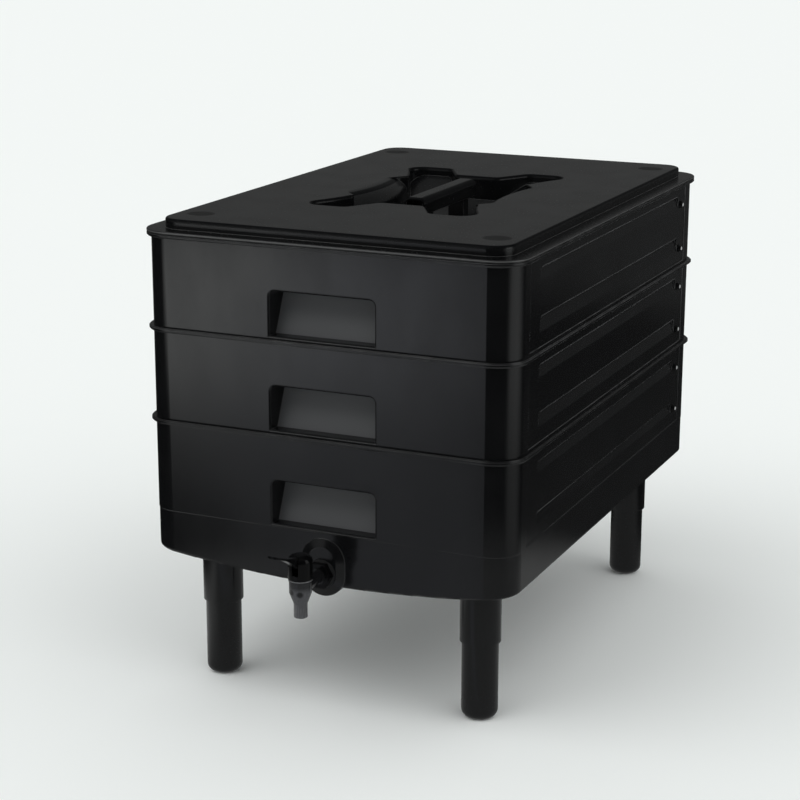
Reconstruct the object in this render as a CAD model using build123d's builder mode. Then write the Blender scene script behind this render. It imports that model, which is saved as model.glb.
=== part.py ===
from build123d import *
import os

# Wormery: a lid, two stacking trays with drained floors, and a reservoir base on four plug-in legs
# with a press-lever tap. Millimetres, +Z up, front towards -Y. The stack is drawn about its own
# centre line and each finished piece is then shifted so that the origin lies on the ground under
# the middle of the whole footprint, tap included.

# ---- Stack: overall sizes -------------------------------------------------------------------
LIP_WIDTH = 400.0  # across the rims, left to right
LIP_LENGTH = 584.0  # across the rims, front to back
LIP_RADIUS = 32.0
LIP_HEIGHT = 4.5
LIP_PROUD = 4.5  # the rim stands this far outside the wall
LIP_EDGE = 1.2  # rounding of the rim
WALL = 3.0
FLOOR = 3.0
TRAY_PITCH = 93.5  # height that each tray adds to the stack
BASE_LEVEL_HEIGHT = 95.5  # from the crease of the base up to its rim
CREASE_HEIGHT = 187.0  # above the ground
SPIGOT_DEPTH = 8.0  # how far a tray reaches into the rim below
SPIGOT_FIT = 0.5  # clearance all round the spigot

# ---- Hand recesses, one at each end of every level ------------------------------------------
RECESS_WIDTH = 111.0
RECESS_HEIGHT = 44.0
RECESS_RISE = 3.0  # above the foot of the wall
RECESS_DEPTH_TOP = 34.0
RECESS_DEPTH_FOOT = 14.0
RECESS_CORNER = 6.0
RECESS_FLARE = 1.6  # chamfer round the mouth

# ---- Long grooves and shallow panels on the sides ------------------------------------------
GROOVE_START = 69.0  # from the front of the wall to the groove's near end
GROOVE_END = 65.0  # from the back of the wall to its far end
GROOVE_DEPTH = 4.0
GROOVE_ROUND = 5.0  # rounding of the upper end corners
UPPER_GROOVE_TOP = 78.0  # above the foot of the wall
UPPER_GROOVE_DROP = 15.0
LOWER_GROOVE_TOP = 31.0
LOWER_GROOVE_DROP = 18.0
BASE_LOWER_GROOVE_TOP = 27.0
BASE_LOWER_GROOVE_DROP = 14.0
PANEL_MARGIN = 40.0  # from the ends of the wall
PANEL_DEPTH = 0.8
PANEL_GAP = 2.0  # plain wall above and below the panel

# ---- Drain holes in the tray floors ---------------------------------------------------------
DRAIN_SIDE = 7.0
DRAIN_PITCH = 54.0
DRAIN_EDGE = 26.0  # least distance from a hole's centre to the outside of the spigot

# ---- Base -----------------------------------------------------------------------------------
CREASE_STEP = 1.0  # the ends step in below the crease
BASE_SIDE_DROP = 40.5  # from the crease to the foot of the sides
FLOOR_BOW = 14.0  # the floor sags this much towards its middle
BASE_EDGE = 3.0  # rounding of the foot
BOSS_RADIUS = 23.0
BOSS_FACE_RADIUS = 15.0  # the boss slopes in to this where the washer seats
BOSS_HEIGHT = 59.0
BOSS_PROUD = 3.0
BOSS_LENGTH = 42.0  # front to back, under the floor
BOSS_DROP = 5.0  # from the crease to the top of the boss
TAP_RISE = 24.0  # from the foot of the boss up to the tap's axis

# ---- Legs -----------------------------------------------------------------------------------
LEG_DIAMETER = 36.6
LEG_WALL = 2.5
LEG_FIT = 0.15  # radial, in the socket
LEG_FROM_SIDE = 52.0  # leg's axis, in from the side wall
LEG_FROM_END = 56.5  # and in from the end wall
SOCKET_WALL = 2.1
SOCKET_FOOT = 79.5  # height of the socket's mouth above the ground
SOCKET_CHAMFER = 0.8
SOCKET_SEAT = 2.5  # height of the leg's seat above the lowest point of the floor
FOOT_ROUND = 9.0

# ---- Lid ------------------------------------------------------------------------------------
FLANGE = 2.5
FLANGE_EDGE = 0.8
PLATEAU_INSET = 16.3
PLATEAU_HEIGHT = 9.8
PLATEAU_RADIUS = 22.0
PLATEAU_EDGE = 2.4
SKIRT_DEPTH = 6.0
SKIRT_WALL = 2.5
WELL_DEPTH = 42.0  # in the middle
WELL_TIP_DEPTH = 9.0  # at the ends of the lobes
WELL_HALF_LENGTH = 139.0
WELL_WAIST_X = 59.0
WELL_WAIST_Y = 100.0
WELL_MOUTH_X = 25.0  # half width of the straight part of the end waists
LOBE_OUTER_X = 101.0
LOBE_INNER_X = 47.0
LOBE_ROUND = 15.0
LOBE_INNER_ROUND = 9.0
WELL_EDGE = 3.0
ROLL_RADIUS = 22.0  # the well's side waists roll over into the plateau
ROLL_REACH = 98.0  # from the middle of the lid out to where the rolls end
ROLL_SPARE = 1.0  # the cut reaches this far into the open

# ---- Handle bar -----------------------------------------------------------------------------
HANDLE_WIDTH = 24.0
HANDLE_LENGTH = 140.0
HANDLE_HEIGHT = 17.0
HANDLE_WALL = 3.0
HANDLE_ROUND = 7.0
HANDLE_END = 0.8  # chamfer round the ends of the bar
HANDLE_PROUD = 2.0  # above the plateau
PILLAR_LENGTH = 14.0
PILLAR_INSET = 15.0  # from the end of the bar to the pillar
PILLAR_FIT = 0.2

# ---- Tap ------------------------------------------------------------------------------------
TAP_REACH = 46.0  # from the boss to the barrel's axis
TAIL_DIAMETER = 15.8
TAIL_BORE = 9.0
TAIL_FIT = 0.3  # in the wall
NECK_DIAMETER = 13.0
WASHER_DIAMETER = 29.0
OUTER_WASHER = 2.5
INNER_WASHER = 2.0
NUT_ACROSS_FLATS = 24.0
NUT_LENGTH = 8.0  # behind the wall
FRONT_NUT_LENGTH = 7.0
NUT_FIT = 0.05
TAIL_SPARE = 3.0  # thread left beyond the nut behind the wall
TAIL_SHOULDER = 1.0  # and in front of the front nut
BARREL_DIAMETER = 22.0
BARREL_BORE = 15.0
BARREL_DOWN = 3.5  # from the tail's axis
BARREL_UP = 10.4  # to its mouth
RING_DIAMETER = 23.4  # round the barrel's mouth
RING_HEIGHT = 1.8
CONE_HEIGHT = 11.2  # from the barrel's foot down to the nozzle
SEAT_DROP = 2.5  # valve seat, below the tail's axis
SEAT_BORE = 8.0
SEAT_THICKNESS = 3.0
SPOUT_DIAMETER = 9.6  # short spout that the nozzle pushes onto
SPOUT_BORE = 7.0
SPOUT_LENGTH = 8.0
NOZZLE_FIT = 0.1
NOZZLE_LENGTH = 14.0
NOZZLE_DIAMETER = 13.4
NOZZLE_EDGE = 0.6
SEAL_DIAMETER = 12.0
SEAL_THICKNESS = 3.0
SEAL_CHAMFER = 0.7
STEM_DIAMETER = 5.0
STEM_FIT = 0.05
STEM_DISC_DIAMETER = 10.4
STEM_DISC = 1.5
STEM_HEAD_DIAMETER = 9.0
STEM_HEAD = 2.1
STEM_HEAD_CHAMFER = 0.7
HOOD_DIAMETER = 24.0
HOOD_HEIGHT = 24.0
HOOD_ROUND = 6.5
HOOD_BORE = 17.5
HOOD_ROOF = 3.0
HOOD_FLOOR = 5.5  # above the barrel's mouth
HOOD_PLUG = 3.0
HOOD_PLUG_FIT = 0.1
SPRING_POCKET_DIAMETER = 11.0
SPRING_ROOF = 3.0  # from the spring's upper end to the top of the hood's floor
SPRING_DIAMETER = 8.4  # mean
SPRING_WIRE = 1.0
SPRING_TURNS = 4
SPRING_SIDE_COUNT = 6  # of the wire as drawn
PIN_DIAMETER = 3.0
PIN_FIT = 0.05
PIVOT_AHEAD = 8.0  # of the stem
PIVOT_RISE = 14.6  # above the barrel's mouth
PIN_LENGTH = 13.0
SLOT_FIT = 0.3  # each side of the lever
LEVER_HUB = 6.4
LEVER_REACH = 49.0  # from pivot to tip
LEVER_LIFT = 25.5  # height of the tip above the pivot
LEVER_MIDDLE = (20.5, 14.3)  # a point of its top, ahead of and above the pivot
LEVER_THICKNESS = 2.6  # at the tip
LEVER_DEEP = 3.5  # at the middle
ROOT_BACK = 2.5  # how far the root reaches behind the pivot
ROOT_AHEAD = 2.1  # its foot starts this far ahead of the pivot
ROOT_TOP = 8.8  # above the pivot
ROOT_FOOT = 1.0  # below it
HUB_RADIUS = 2.6
PADDLE_WIDTH = 14.0
PADDLE_LENGTH = 22.0
PADDLE_ROUND = 6.5
TINE_WIDTH = 2.4
TINE_FIT = 0.4  # each side of the stem
THROAT_FIT = 1.0  # behind the stem, for the lever's swing
NOSE_RADIUS = 1.5
NOSE_DROP = 1.0  # of the tines, below the pivot
YOKE_AHEAD = 4.7  # where the tines start, in front of the stem
LIFT_GAP = 0.3  # free play between lever and stem head

NEAR = 0.01  # tolerance for picking edges and corners by their place

# ---- Worked out from the above --------------------------------------------------------------
WALL_WIDTH = LIP_WIDTH - 2 * LIP_PROUD
WALL_LENGTH = LIP_LENGTH - 2 * LIP_PROUD
SPIGOT_INSET = WALL + SPIGOT_FIT
FRONT = -WALL_LENGTH / 2  # face of the front wall
SIDE = WALL_WIDTH / 2  # face of the right-hand wall
BASE_RIM = CREASE_HEIGHT + BASE_LEVEL_HEIGHT
MIDDLE_RIM = BASE_RIM + TRAY_PITCH
UPPER_RIM = MIDDLE_RIM + TRAY_PITCH
FLANGE_TOP = UPPER_RIM + FLANGE
PLATEAU_TOP = FLANGE_TOP + PLATEAU_HEIGHT
BASE_SIDE_FOOT = CREASE_HEIGHT - BASE_SIDE_DROP
BASE_FOOT = BASE_SIDE_FOOT - FLOOR_BOW
LEG_TOP = BASE_FOOT + SOCKET_SEAT
LEG_X = SIDE - LEG_FROM_SIDE
LEG_Y = WALL_LENGTH / 2 - LEG_FROM_END
BOSS_MIDDLE = CREASE_HEIGHT - BOSS_DROP - BOSS_HEIGHT / 2
TAP_HEIGHT = CREASE_HEIGHT - BOSS_DROP - BOSS_HEIGHT + TAP_RISE
BOSS_FACE = FRONT - BOSS_PROUD
WASHER_FACE = BOSS_FACE - OUTER_WASHER
TAIL_FRONT = WASHER_FACE - FRONT_NUT_LENGTH - TAIL_SHOULDER
WALL_BACK = FRONT + WALL
NUT_BACK = WALL_BACK + INNER_WASHER + NUT_LENGTH
BARREL_Y = BOSS_FACE - TAP_REACH
BARREL_TOP = TAP_HEIGHT + BARREL_UP
BARREL_FOOT = TAP_HEIGHT - BARREL_DOWN
CONE_FOOT = BARREL_FOOT - CONE_HEIGHT
SPOUT_FOOT = CONE_FOOT - SPOUT_LENGTH
SEAT_TOP = TAP_HEIGHT - SEAT_DROP
SEAT_FOOT = SEAT_TOP - SEAT_THICKNESS
HOOD_TOP = BARREL_TOP + HOOD_HEIGHT
FLOOR_TOP = BARREL_TOP + HOOD_FLOOR
SPRING_FOOT = SEAT_TOP + SEAL_THICKNESS + STEM_DISC
SPRING_TOP = FLOOR_TOP - SPRING_ROOF
PIVOT_Y = BARREL_Y - PIVOT_AHEAD
PIVOT_Z = BARREL_TOP + PIVOT_RISE
NOSE_Z = PIVOT_Z - NOSE_DROP
HEAD_FOOT = NOSE_Z + NOSE_RADIUS + LIFT_GAP
WAIST_BEND = (WELL_HALF_LENGTH**2 + (LOBE_OUTER_X - WELL_WAIST_X) ** 2) / (
    2 * (LOBE_OUTER_X - WELL_WAIST_X)
)  # radius of the side waists, in plan
STACK_SHIFT = (LEVER_REACH - PIVOT_Y - LIP_LENGTH / 2) / 2  # front overhang of the tap, halved


def finish(piece, label):
    """Shift a finished piece into the part's own frame, label it and write it."""
    placed = piece.part.moved(Location((0, STACK_SHIFT, 0)))
    placed.label = label
    export_step(placed, f"parts/{label}.step")


def outline(inset, height, step=0.0):
    """Rounded plan outline at a height, inset from the rim, its ends stepped in further."""
    with BuildSketch(Plane.XY.offset(height)) as plan:
        RectangleRounded(LIP_WIDTH - 2 * inset, LIP_LENGTH - 2 * (inset + step), LIP_RADIUS - inset)
    return plan.sketch


def add_rim(rim_top):
    """Rim bead round the top of a wall, its outer edges rounded off."""
    extrude(outline(LIP_EDGE, rim_top - LIP_HEIGHT), amount=LIP_HEIGHT)
    extrude(outline(0, rim_top - LIP_HEIGHT + LIP_EDGE), amount=LIP_HEIGHT - 2 * LIP_EDGE)


def recess_section(foot, end, grow):
    """Side section of the hand recess at one end, grown for the housing behind it."""
    face = end * WALL_LENGTH / 2
    low = foot + RECESS_RISE
    high = low + RECESS_HEIGHT
    with BuildSketch(Plane.YZ) as section:
        with BuildLine():
            Polyline(
                (face, low - grow),
                (face - end * (RECESS_DEPTH_FOOT + grow), low - grow),
                (face - end * (RECESS_DEPTH_TOP + grow), high + grow),
                (face, high + grow),
                close=True,
            )
        make_face()
    return section.sketch


def add_recess_housings(foot):
    """Slanted housings behind the hand recesses."""
    for end in (-1, 1):
        extrude(recess_section(foot, end, WALL), amount=RECESS_WIDTH / 2 + WALL, both=True)


def mouth_outline(foot, end, grow, deep):
    """Outline of a hand recess, grown all round, at a depth behind the face of the wall."""
    middle = foot + RECESS_RISE + RECESS_HEIGHT / 2
    with BuildSketch(Plane.XZ.offset(end * (deep - WALL_LENGTH / 2))) as mouth:
        with Locations((0, middle)):
            Rectangle(RECESS_WIDTH + 2 * grow, RECESS_HEIGHT + 2 * grow)
        fillet(mouth.vertices().group_by(Axis.Y)[-1], RECESS_CORNER + grow)
    return mouth.sketch


def cut_recesses(foot):
    """Hand recesses with rounded upper corners, a chamfered mouth and a slanted back."""
    for end in (-1, 1):
        mouth = mouth_outline(foot, end, 0, 0)
        block = extrude(mouth, amount=end * 2 * RECESS_DEPTH_TOP, mode=Mode.PRIVATE)
        wedge = extrude(
            recess_section(foot, end, 0), amount=RECESS_WIDTH, both=True, mode=Mode.PRIVATE
        )
        add(block & wedge, mode=Mode.SUBTRACT)
        flare = [mouth_outline(foot, end, RECESS_FLARE, 0), mouth_outline(foot, end, 0, RECESS_FLARE)]
        loft(flare, mode=Mode.SUBTRACT)


def groove_section(side, top, drop, grow):
    """End section of a side groove: square ledge at the top, floor sloping out to nothing."""
    face = side * SIDE
    deep = GROOVE_DEPTH + grow
    with BuildSketch(Plane.XZ) as section:
        with BuildLine():
            Polyline(
                (face, top + grow),
                (face - side * deep, top + grow),
                (face, top + grow - deep * drop / GROOVE_DEPTH),
                close=True,
            )
        make_face()
    return section.sketch


def groove_block(side, section, start, stop):
    """Groove solid between two stations along the wall, with rounded upper corners."""
    length = stop - start
    whole = extrude(section, amount=WALL_LENGTH, both=True, mode=Mode.PRIVATE)
    box = section.bounding_box()
    with BuildSketch(Plane.YZ.offset(side * SIDE)) as front:
        with Locations(((start + stop) / 2, (box.min.Z + box.max.Z) / 2)):
            Rectangle(length, box.size.Z)
        fillet(front.vertices().group_by(Axis.Y)[-1], GROOVE_ROUND)
    mould = extrude(front.sketch, amount=3 * GROOVE_DEPTH, both=True, mode=Mode.PRIVATE)
    return whole & mould


def add_grooves(foot, grooves):
    """Ridges inside the walls and the grooves outside them, on both sides."""
    start, stop = -WALL_LENGTH / 2 + GROOVE_START, WALL_LENGTH / 2 - GROOVE_END
    for side in (-1, 1):
        for top, drop in grooves:
            ridge = groove_section(side, foot + top, drop, WALL)
            add(groove_block(side, ridge, start - WALL, stop + WALL))
            groove = groove_section(side, foot + top, drop, 0)
            add(groove_block(side, groove, start, stop), mode=Mode.SUBTRACT)


def cut_side_panels(low, high):
    """Shallow panel in each side wall."""
    for side in (-1, 1):
        with BuildSketch(Plane.YZ.offset(side * SIDE)) as panel:
            with Locations((0, (low + high) / 2)):
                Rectangle(WALL_LENGTH - 2 * PANEL_MARGIN, high - low)
        extrude(panel.sketch, amount=-side * PANEL_DEPTH, mode=Mode.SUBTRACT)


TRAY_GROOVES = ((UPPER_GROOVE_TOP, UPPER_GROOVE_DROP), (LOWER_GROOVE_TOP, LOWER_GROOVE_DROP))
BASE_GROOVES = (
    (UPPER_GROOVE_TOP, UPPER_GROOVE_DROP),
    (BASE_LOWER_GROOVE_TOP, BASE_LOWER_GROOVE_DROP),
)


# ---- Working trays --------------------------------------------------------------------------
def build_tray(foot, label):
    """Tray with a drained floor, whose spigot drops inside the rim below."""
    rim = foot + TRAY_PITCH
    spigot = LIP_PROUD + SPIGOT_INSET
    drain_columns = int((LIP_WIDTH - 2 * spigot - 2 * DRAIN_EDGE) // DRAIN_PITCH) + 1
    drain_rows = int((LIP_LENGTH - 2 * spigot - 2 * DRAIN_EDGE) // DRAIN_PITCH) + 1
    with BuildPart() as tray:
        extrude(outline(LIP_PROUD, foot), amount=TRAY_PITCH)
        extrude(outline(spigot, foot - SPIGOT_DEPTH), amount=SPIGOT_DEPTH)
        add_rim(rim)
        extrude(
            outline(spigot + WALL, foot - SPIGOT_DEPTH + FLOOR),
            amount=SPIGOT_DEPTH,
            mode=Mode.SUBTRACT,
        )
        extrude(outline(LIP_PROUD + WALL, foot + FLOOR), amount=TRAY_PITCH, mode=Mode.SUBTRACT)
        add_recess_housings(foot)
        add_grooves(foot, TRAY_GROOVES)
        cut_side_panels(foot + PANEL_GAP, rim - LIP_HEIGHT - PANEL_GAP)
        cut_recesses(foot)
        with BuildSketch(Plane.XY.offset(foot - SPIGOT_DEPTH)) as drains:
            with GridLocations(DRAIN_PITCH, DRAIN_PITCH, drain_columns, drain_rows):
                Rectangle(DRAIN_SIDE, DRAIN_SIDE)
        extrude(amount=FLOOR, mode=Mode.SUBTRACT)
    finish(tray, label)


# ---- Base -----------------------------------------------------------------------------------
def bowed_section(lift, top):
    """Front section of the reservoir, with its floor bowed down in the middle."""
    with BuildSketch(Plane.XZ) as section:
        with BuildLine():
            ThreePointArc(
                (-SIDE, BASE_SIDE_FOOT + lift), (0, BASE_FOOT + lift), (SIDE, BASE_SIDE_FOOT + lift)
            )
            Polyline(
                (SIDE, BASE_SIDE_FOOT + lift),
                (SIDE, top),
                (-SIDE, top),
                (-SIDE, BASE_SIDE_FOOT + lift),
            )
        make_face()
    return section.sketch


def plan_block(inset, low, high, step=0.0):
    """Upright block on the rounded plan outline, between two heights."""
    return extrude(outline(inset, low, step), amount=high - low, mode=Mode.PRIVATE)


def boss_outline(grow, station):
    """Upright rounded outline of the tap boss at a station, front to back."""
    with BuildSketch(Plane.XZ.offset(-station)) as face:
        with Locations((0, BOSS_MIDDLE)):
            SlotOverall(BOSS_HEIGHT + 2 * grow, 2 * (BOSS_RADIUS + grow), rotation=90)
    return face.sketch


def boss_block(grow, near, far):
    """Upright rounded block of the tap boss between two stations."""
    return extrude(boss_outline(grow, near), amount=near - far, mode=Mode.PRIVATE)


def build_base():
    """Third level and reservoir in one moulding, with a tap boss and four leg sockets."""
    seats = [(x, y) for x in (-LEG_X, LEG_X) for y in (-LEG_Y, LEG_Y)]
    bore = LEG_DIAMETER / 2 + LEG_FIT
    with BuildPart() as base:
        lower = extrude(
            bowed_section(0, CREASE_HEIGHT), amount=LIP_LENGTH, both=True, mode=Mode.PRIVATE
        )
        add(lower & plan_block(LIP_PROUD, BASE_FOOT, CREASE_HEIGHT, CREASE_STEP))
        fillet(base.faces().sort_by(Axis.Z)[0].edges(), BASE_EDGE)
        extrude(outline(LIP_PROUD, CREASE_HEIGHT), amount=BASE_LEVEL_HEIGHT)
        add_rim(BASE_RIM)
        with BuildSketch(Plane.XY.offset(SOCKET_FOOT)) as sockets:
            with Locations(seats):
                Circle(bore + SOCKET_WALL)
        extrude(sockets.sketch, amount=BASE_SIDE_FOOT - SOCKET_FOOT)
        chamfer(base.faces().group_by(Axis.Z)[0].edges(), SOCKET_CHAMFER)
        add(boss_block(0, FRONT, BOSS_FACE + BOSS_LENGTH))
        loft([boss_outline(0, FRONT), boss_outline(BOSS_FACE_RADIUS - BOSS_RADIUS, BOSS_FACE)])
        room = extrude(
            bowed_section(FLOOR, BASE_RIM), amount=LIP_LENGTH, both=True, mode=Mode.PRIVATE
        )
        add(room & plan_block(LIP_PROUD + WALL, BASE_FOOT, BASE_RIM, CREASE_STEP), mode=Mode.SUBTRACT)
        extrude(
            outline(LIP_PROUD + WALL, CREASE_HEIGHT + WALL), amount=BASE_LEVEL_HEIGHT, mode=Mode.SUBTRACT
        )
        add(boss_block(-WALL, FRONT + WALL, BOSS_FACE + BOSS_LENGTH - WALL), mode=Mode.SUBTRACT)
        with BuildSketch(Plane.XY.offset(SOCKET_FOOT)) as bores:
            with Locations(seats):
                Circle(bore)
        extrude(bores.sketch, amount=LEG_TOP - SOCKET_FOOT, mode=Mode.SUBTRACT)
        add_recess_housings(CREASE_HEIGHT)
        add_grooves(CREASE_HEIGHT, BASE_GROOVES)
        cut_side_panels(CREASE_HEIGHT + PANEL_GAP, BASE_RIM - LIP_HEIGHT - PANEL_GAP)
        cut_recesses(CREASE_HEIGHT)
        add(rod(TAIL_DIAMETER / 2 + TAIL_FIT, BOSS_FACE, WALL_BACK), mode=Mode.SUBTRACT)
    finish(base, "base")


# ---- Legs -----------------------------------------------------------------------------------
def build_leg(x, y, label):
    """Hollow leg with a closed rounded foot, pushed up into its socket."""
    radius = LEG_DIAMETER / 2
    with BuildPart() as leg:
        with BuildSketch(Plane.XY) as foot:
            with Locations((x, y)):
                Circle(radius)
        extrude(foot.sketch, amount=LEG_TOP)
        fillet(leg.edges().group_by(Axis.Z)[0], FOOT_ROUND)
        with BuildSketch(Plane.XY.offset(FOOT_ROUND)) as hollow:
            with Locations((x, y)):
                Circle(radius - LEG_WALL)
        extrude(hollow.sketch, amount=LEG_TOP, mode=Mode.SUBTRACT)
    finish(leg, label)


# ---- Lid ------------------------------------------------------------------------------------
def corners_at(plan, across, along):
    """The four mirrored corners of a plan that lie at one distance from both centre lines."""
    return plan.vertices().filter_by(
        lambda corner: abs(abs(corner.X) - across) < NEAR and abs(abs(corner.Y) - along) < NEAR
    )


def well_outline(grow, height):
    """Four-lobed outline of the well: a waist at each side and end, a rounded lobe at each corner."""
    with BuildSketch(Plane.XY.offset(height)) as well:
        with BuildLine():
            waist = ThreePointArc(
                (LOBE_OUTER_X, -WELL_HALF_LENGTH), (WELL_WAIST_X, 0), (LOBE_OUTER_X, WELL_HALF_LENGTH)
            )
            Line((LOBE_OUTER_X, WELL_HALF_LENGTH), (LOBE_INNER_X, WELL_HALF_LENGTH))
            Line((LOBE_INNER_X, WELL_HALF_LENGTH), (WELL_MOUTH_X, WELL_WAIST_Y))
            Line((WELL_MOUTH_X, WELL_WAIST_Y), (-WELL_MOUTH_X, WELL_WAIST_Y))
            Line((-WELL_MOUTH_X, WELL_WAIST_Y), (-LOBE_INNER_X, WELL_HALF_LENGTH))
            Line((-LOBE_INNER_X, WELL_HALF_LENGTH), (-LOBE_OUTER_X, WELL_HALF_LENGTH))
            ThreePointArc(
                (-LOBE_OUTER_X, WELL_HALF_LENGTH), (-WELL_WAIST_X, 0), (-LOBE_OUTER_X, -WELL_HALF_LENGTH)
            )
            Line((-LOBE_OUTER_X, -WELL_HALF_LENGTH), (-LOBE_INNER_X, -WELL_HALF_LENGTH))
            Line((-LOBE_INNER_X, -WELL_HALF_LENGTH), (-WELL_MOUTH_X, -WELL_WAIST_Y))
            Line((-WELL_MOUTH_X, -WELL_WAIST_Y), (WELL_MOUTH_X, -WELL_WAIST_Y))
            Line((WELL_MOUTH_X, -WELL_WAIST_Y), (LOBE_INNER_X, -WELL_HALF_LENGTH))
            Line((LOBE_INNER_X, -WELL_HALF_LENGTH), (LOBE_OUTER_X, -WELL_HALF_LENGTH))
        make_face()
        fillet(corners_at(well, LOBE_OUTER_X, WELL_HALF_LENGTH), LOBE_ROUND)
        fillet(corners_at(well, LOBE_INNER_X, WELL_HALF_LENGTH), LOBE_INNER_ROUND)
        fillet(corners_at(well, WELL_MOUTH_X, WELL_WAIST_Y), LOBE_INNER_ROUND)
        if grow:
            offset(amount=grow)
    return well.sketch


def bowl_block(drop, top):
    """Everything above the bowl-shaped floor of the well, up to a height."""
    middle = PLATEAU_TOP - WELL_DEPTH - drop
    tip = PLATEAU_TOP - WELL_TIP_DEPTH - drop
    with BuildSketch(Plane.YZ) as section:
        with BuildLine():
            ThreePointArc((-WELL_HALF_LENGTH, tip), (0, middle), (WELL_HALF_LENGTH, tip))
            Polyline(
                (WELL_HALF_LENGTH, tip),
                (LIP_LENGTH / 2, tip),
                (LIP_LENGTH / 2, top),
                (-LIP_LENGTH / 2, top),
                (-LIP_LENGTH / 2, tip),
                (-WELL_HALF_LENGTH, tip),
            )
        make_face()
    return extrude(section.sketch, amount=LIP_WIDTH, both=True, mode=Mode.PRIVATE)


def plateau_block(shrink, low, high):
    """Raised middle of the lid between two heights."""
    inset = PLATEAU_INSET + shrink
    with BuildSketch(Plane.XY.offset(low)) as plan:
        RectangleRounded(LIP_WIDTH - 2 * inset, LIP_LENGTH - 2 * inset, PLATEAU_RADIUS - shrink)
    return extrude(plan.sketch, amount=high - low, mode=Mode.PRIVATE)


def roll_ring(side, reach, section):
    """A roll's section swept round the bend of a side waist, within a reach of the lid's middle."""
    middle = side * (WELL_WAIST_X + WAIST_BEND)
    ring = revolve(section, axis=Axis((middle, 0, 0), (0, 0, 1)), mode=Mode.PRIVATE)
    with BuildSketch(Plane.XY.offset(PLATEAU_TOP - 2 * ROLL_RADIUS)) as window:
        Circle(reach)
    return ring & extrude(window.sketch, amount=3 * ROLL_RADIUS, mode=Mode.PRIVATE)


def roll_section(side, size, radius, mode):
    """Square section of a size beside the roll's centre, combined with a disc of a radius."""
    centre_x = side * (WELL_WAIST_X + ROLL_RADIUS)
    centre_z = PLATEAU_TOP - ROLL_RADIUS
    with BuildSketch(Plane.XZ) as section:
        with Locations((centre_x - side * size / 2, centre_z + size / 2)):
            Rectangle(size, size)
        with Locations((centre_x, centre_z)):
            Circle(radius, mode=mode)
    return section.sketch


def roll_waist(side):
    """Let the plateau roll over into the well along one side waist."""
    inner = ROLL_RADIUS - WALL
    housing = roll_section(side, ROLL_RADIUS, 2 * ROLL_RADIUS, Mode.INTERSECT)
    add(roll_ring(side, ROLL_REACH + WALL, housing))
    brink = roll_section(side, ROLL_RADIUS + ROLL_SPARE, ROLL_RADIUS, Mode.SUBTRACT)
    add(roll_ring(side, ROLL_REACH, brink), mode=Mode.SUBTRACT)
    hollow = roll_section(side, inner, inner, Mode.INTERSECT)
    add(roll_ring(side, ROLL_REACH, hollow), mode=Mode.SUBTRACT)


def bar_section(station, shrink, top, low):
    """Round-shouldered section of the bar, shrunk each side, from its top down to a height."""
    rounding = HANDLE_ROUND - HANDLE_WALL if shrink else HANDLE_ROUND
    with BuildSketch(Plane.XZ.offset(-station)) as section:
        with Locations((0, (top + low) / 2)):
            Rectangle(HANDLE_WIDTH - 2 * shrink, top - low)
        fillet(section.vertices().group_by(Axis.Y)[-1], rounding)
    return section.sketch


def build_lid():
    """Lid with a flange on the rim, a skirt inside it and the handle's well in the plateau."""
    skirt = LIP_PROUD + SPIGOT_INSET
    pillar_y = HANDLE_LENGTH / 2 - PILLAR_INSET - PILLAR_LENGTH / 2
    pillar_top = PLATEAU_TOP + HANDLE_PROUD - HANDLE_WALL
    with BuildPart() as lid:
        extrude(outline(0, UPPER_RIM), amount=FLANGE)
        chamfer(lid.edges().group_by(Axis.Z)[-1], FLANGE_EDGE)
        add(plateau_block(0, UPPER_RIM, PLATEAU_TOP))
        fillet(lid.faces().sort_by(Axis.Z)[-1].edges(), PLATEAU_EDGE)
        extrude(outline(skirt, UPPER_RIM - SKIRT_DEPTH), amount=SKIRT_DEPTH)
        extrude(
            outline(skirt + SKIRT_WALL, UPPER_RIM - SKIRT_DEPTH), amount=SKIRT_DEPTH, mode=Mode.SUBTRACT
        )
        add(plateau_block(WALL, UPPER_RIM, PLATEAU_TOP - WALL), mode=Mode.SUBTRACT)
        floor_low = PLATEAU_TOP - WELL_DEPTH - WALL
        housing = extrude(
            well_outline(WALL, floor_low), amount=PLATEAU_TOP - WALL / 2 - floor_low, mode=Mode.PRIVATE
        )
        add(housing & bowl_block(WALL, PLATEAU_TOP - WALL / 2))
        well = extrude(well_outline(0, floor_low), amount=PLATEAU_TOP - floor_low, mode=Mode.PRIVATE)
        add(well & bowl_block(0, PLATEAU_TOP), mode=Mode.SUBTRACT)
        brink = lid.faces().filter_by(Plane.XY).sort_by(Axis.Z)[-1].inner_wires()[0].edges()
        fillet(brink, WELL_EDGE)
        roll_waist(-1)
        roll_waist(1)
        for station in (-pillar_y, pillar_y):
            section = bar_section(station, HANDLE_WALL + PILLAR_FIT, pillar_top, floor_low)
            post = extrude(section, amount=PILLAR_LENGTH / 2, both=True, mode=Mode.PRIVATE)
            add(post & bowl_block(WALL / 2, pillar_top))
    finish(lid, "lid")


def build_handle():
    """Channel-shaped bar that caps the two pillars in the well."""
    top = PLATEAU_TOP + HANDLE_PROUD
    low = top - HANDLE_HEIGHT
    with BuildPart() as handle:
        extrude(bar_section(0, 0, top, low), amount=HANDLE_LENGTH / 2, both=True)
        ends = handle.faces().filter_by(Axis.Y).edges()
        chamfer(ends.filter_by(lambda edge: edge.center().Z > low + NEAR), HANDLE_END)
        inside = bar_section(0, HANDLE_WALL, top - HANDLE_WALL, low)
        extrude(inside, amount=HANDLE_LENGTH, both=True, mode=Mode.SUBTRACT)
    finish(handle, "lid_handle")


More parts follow.
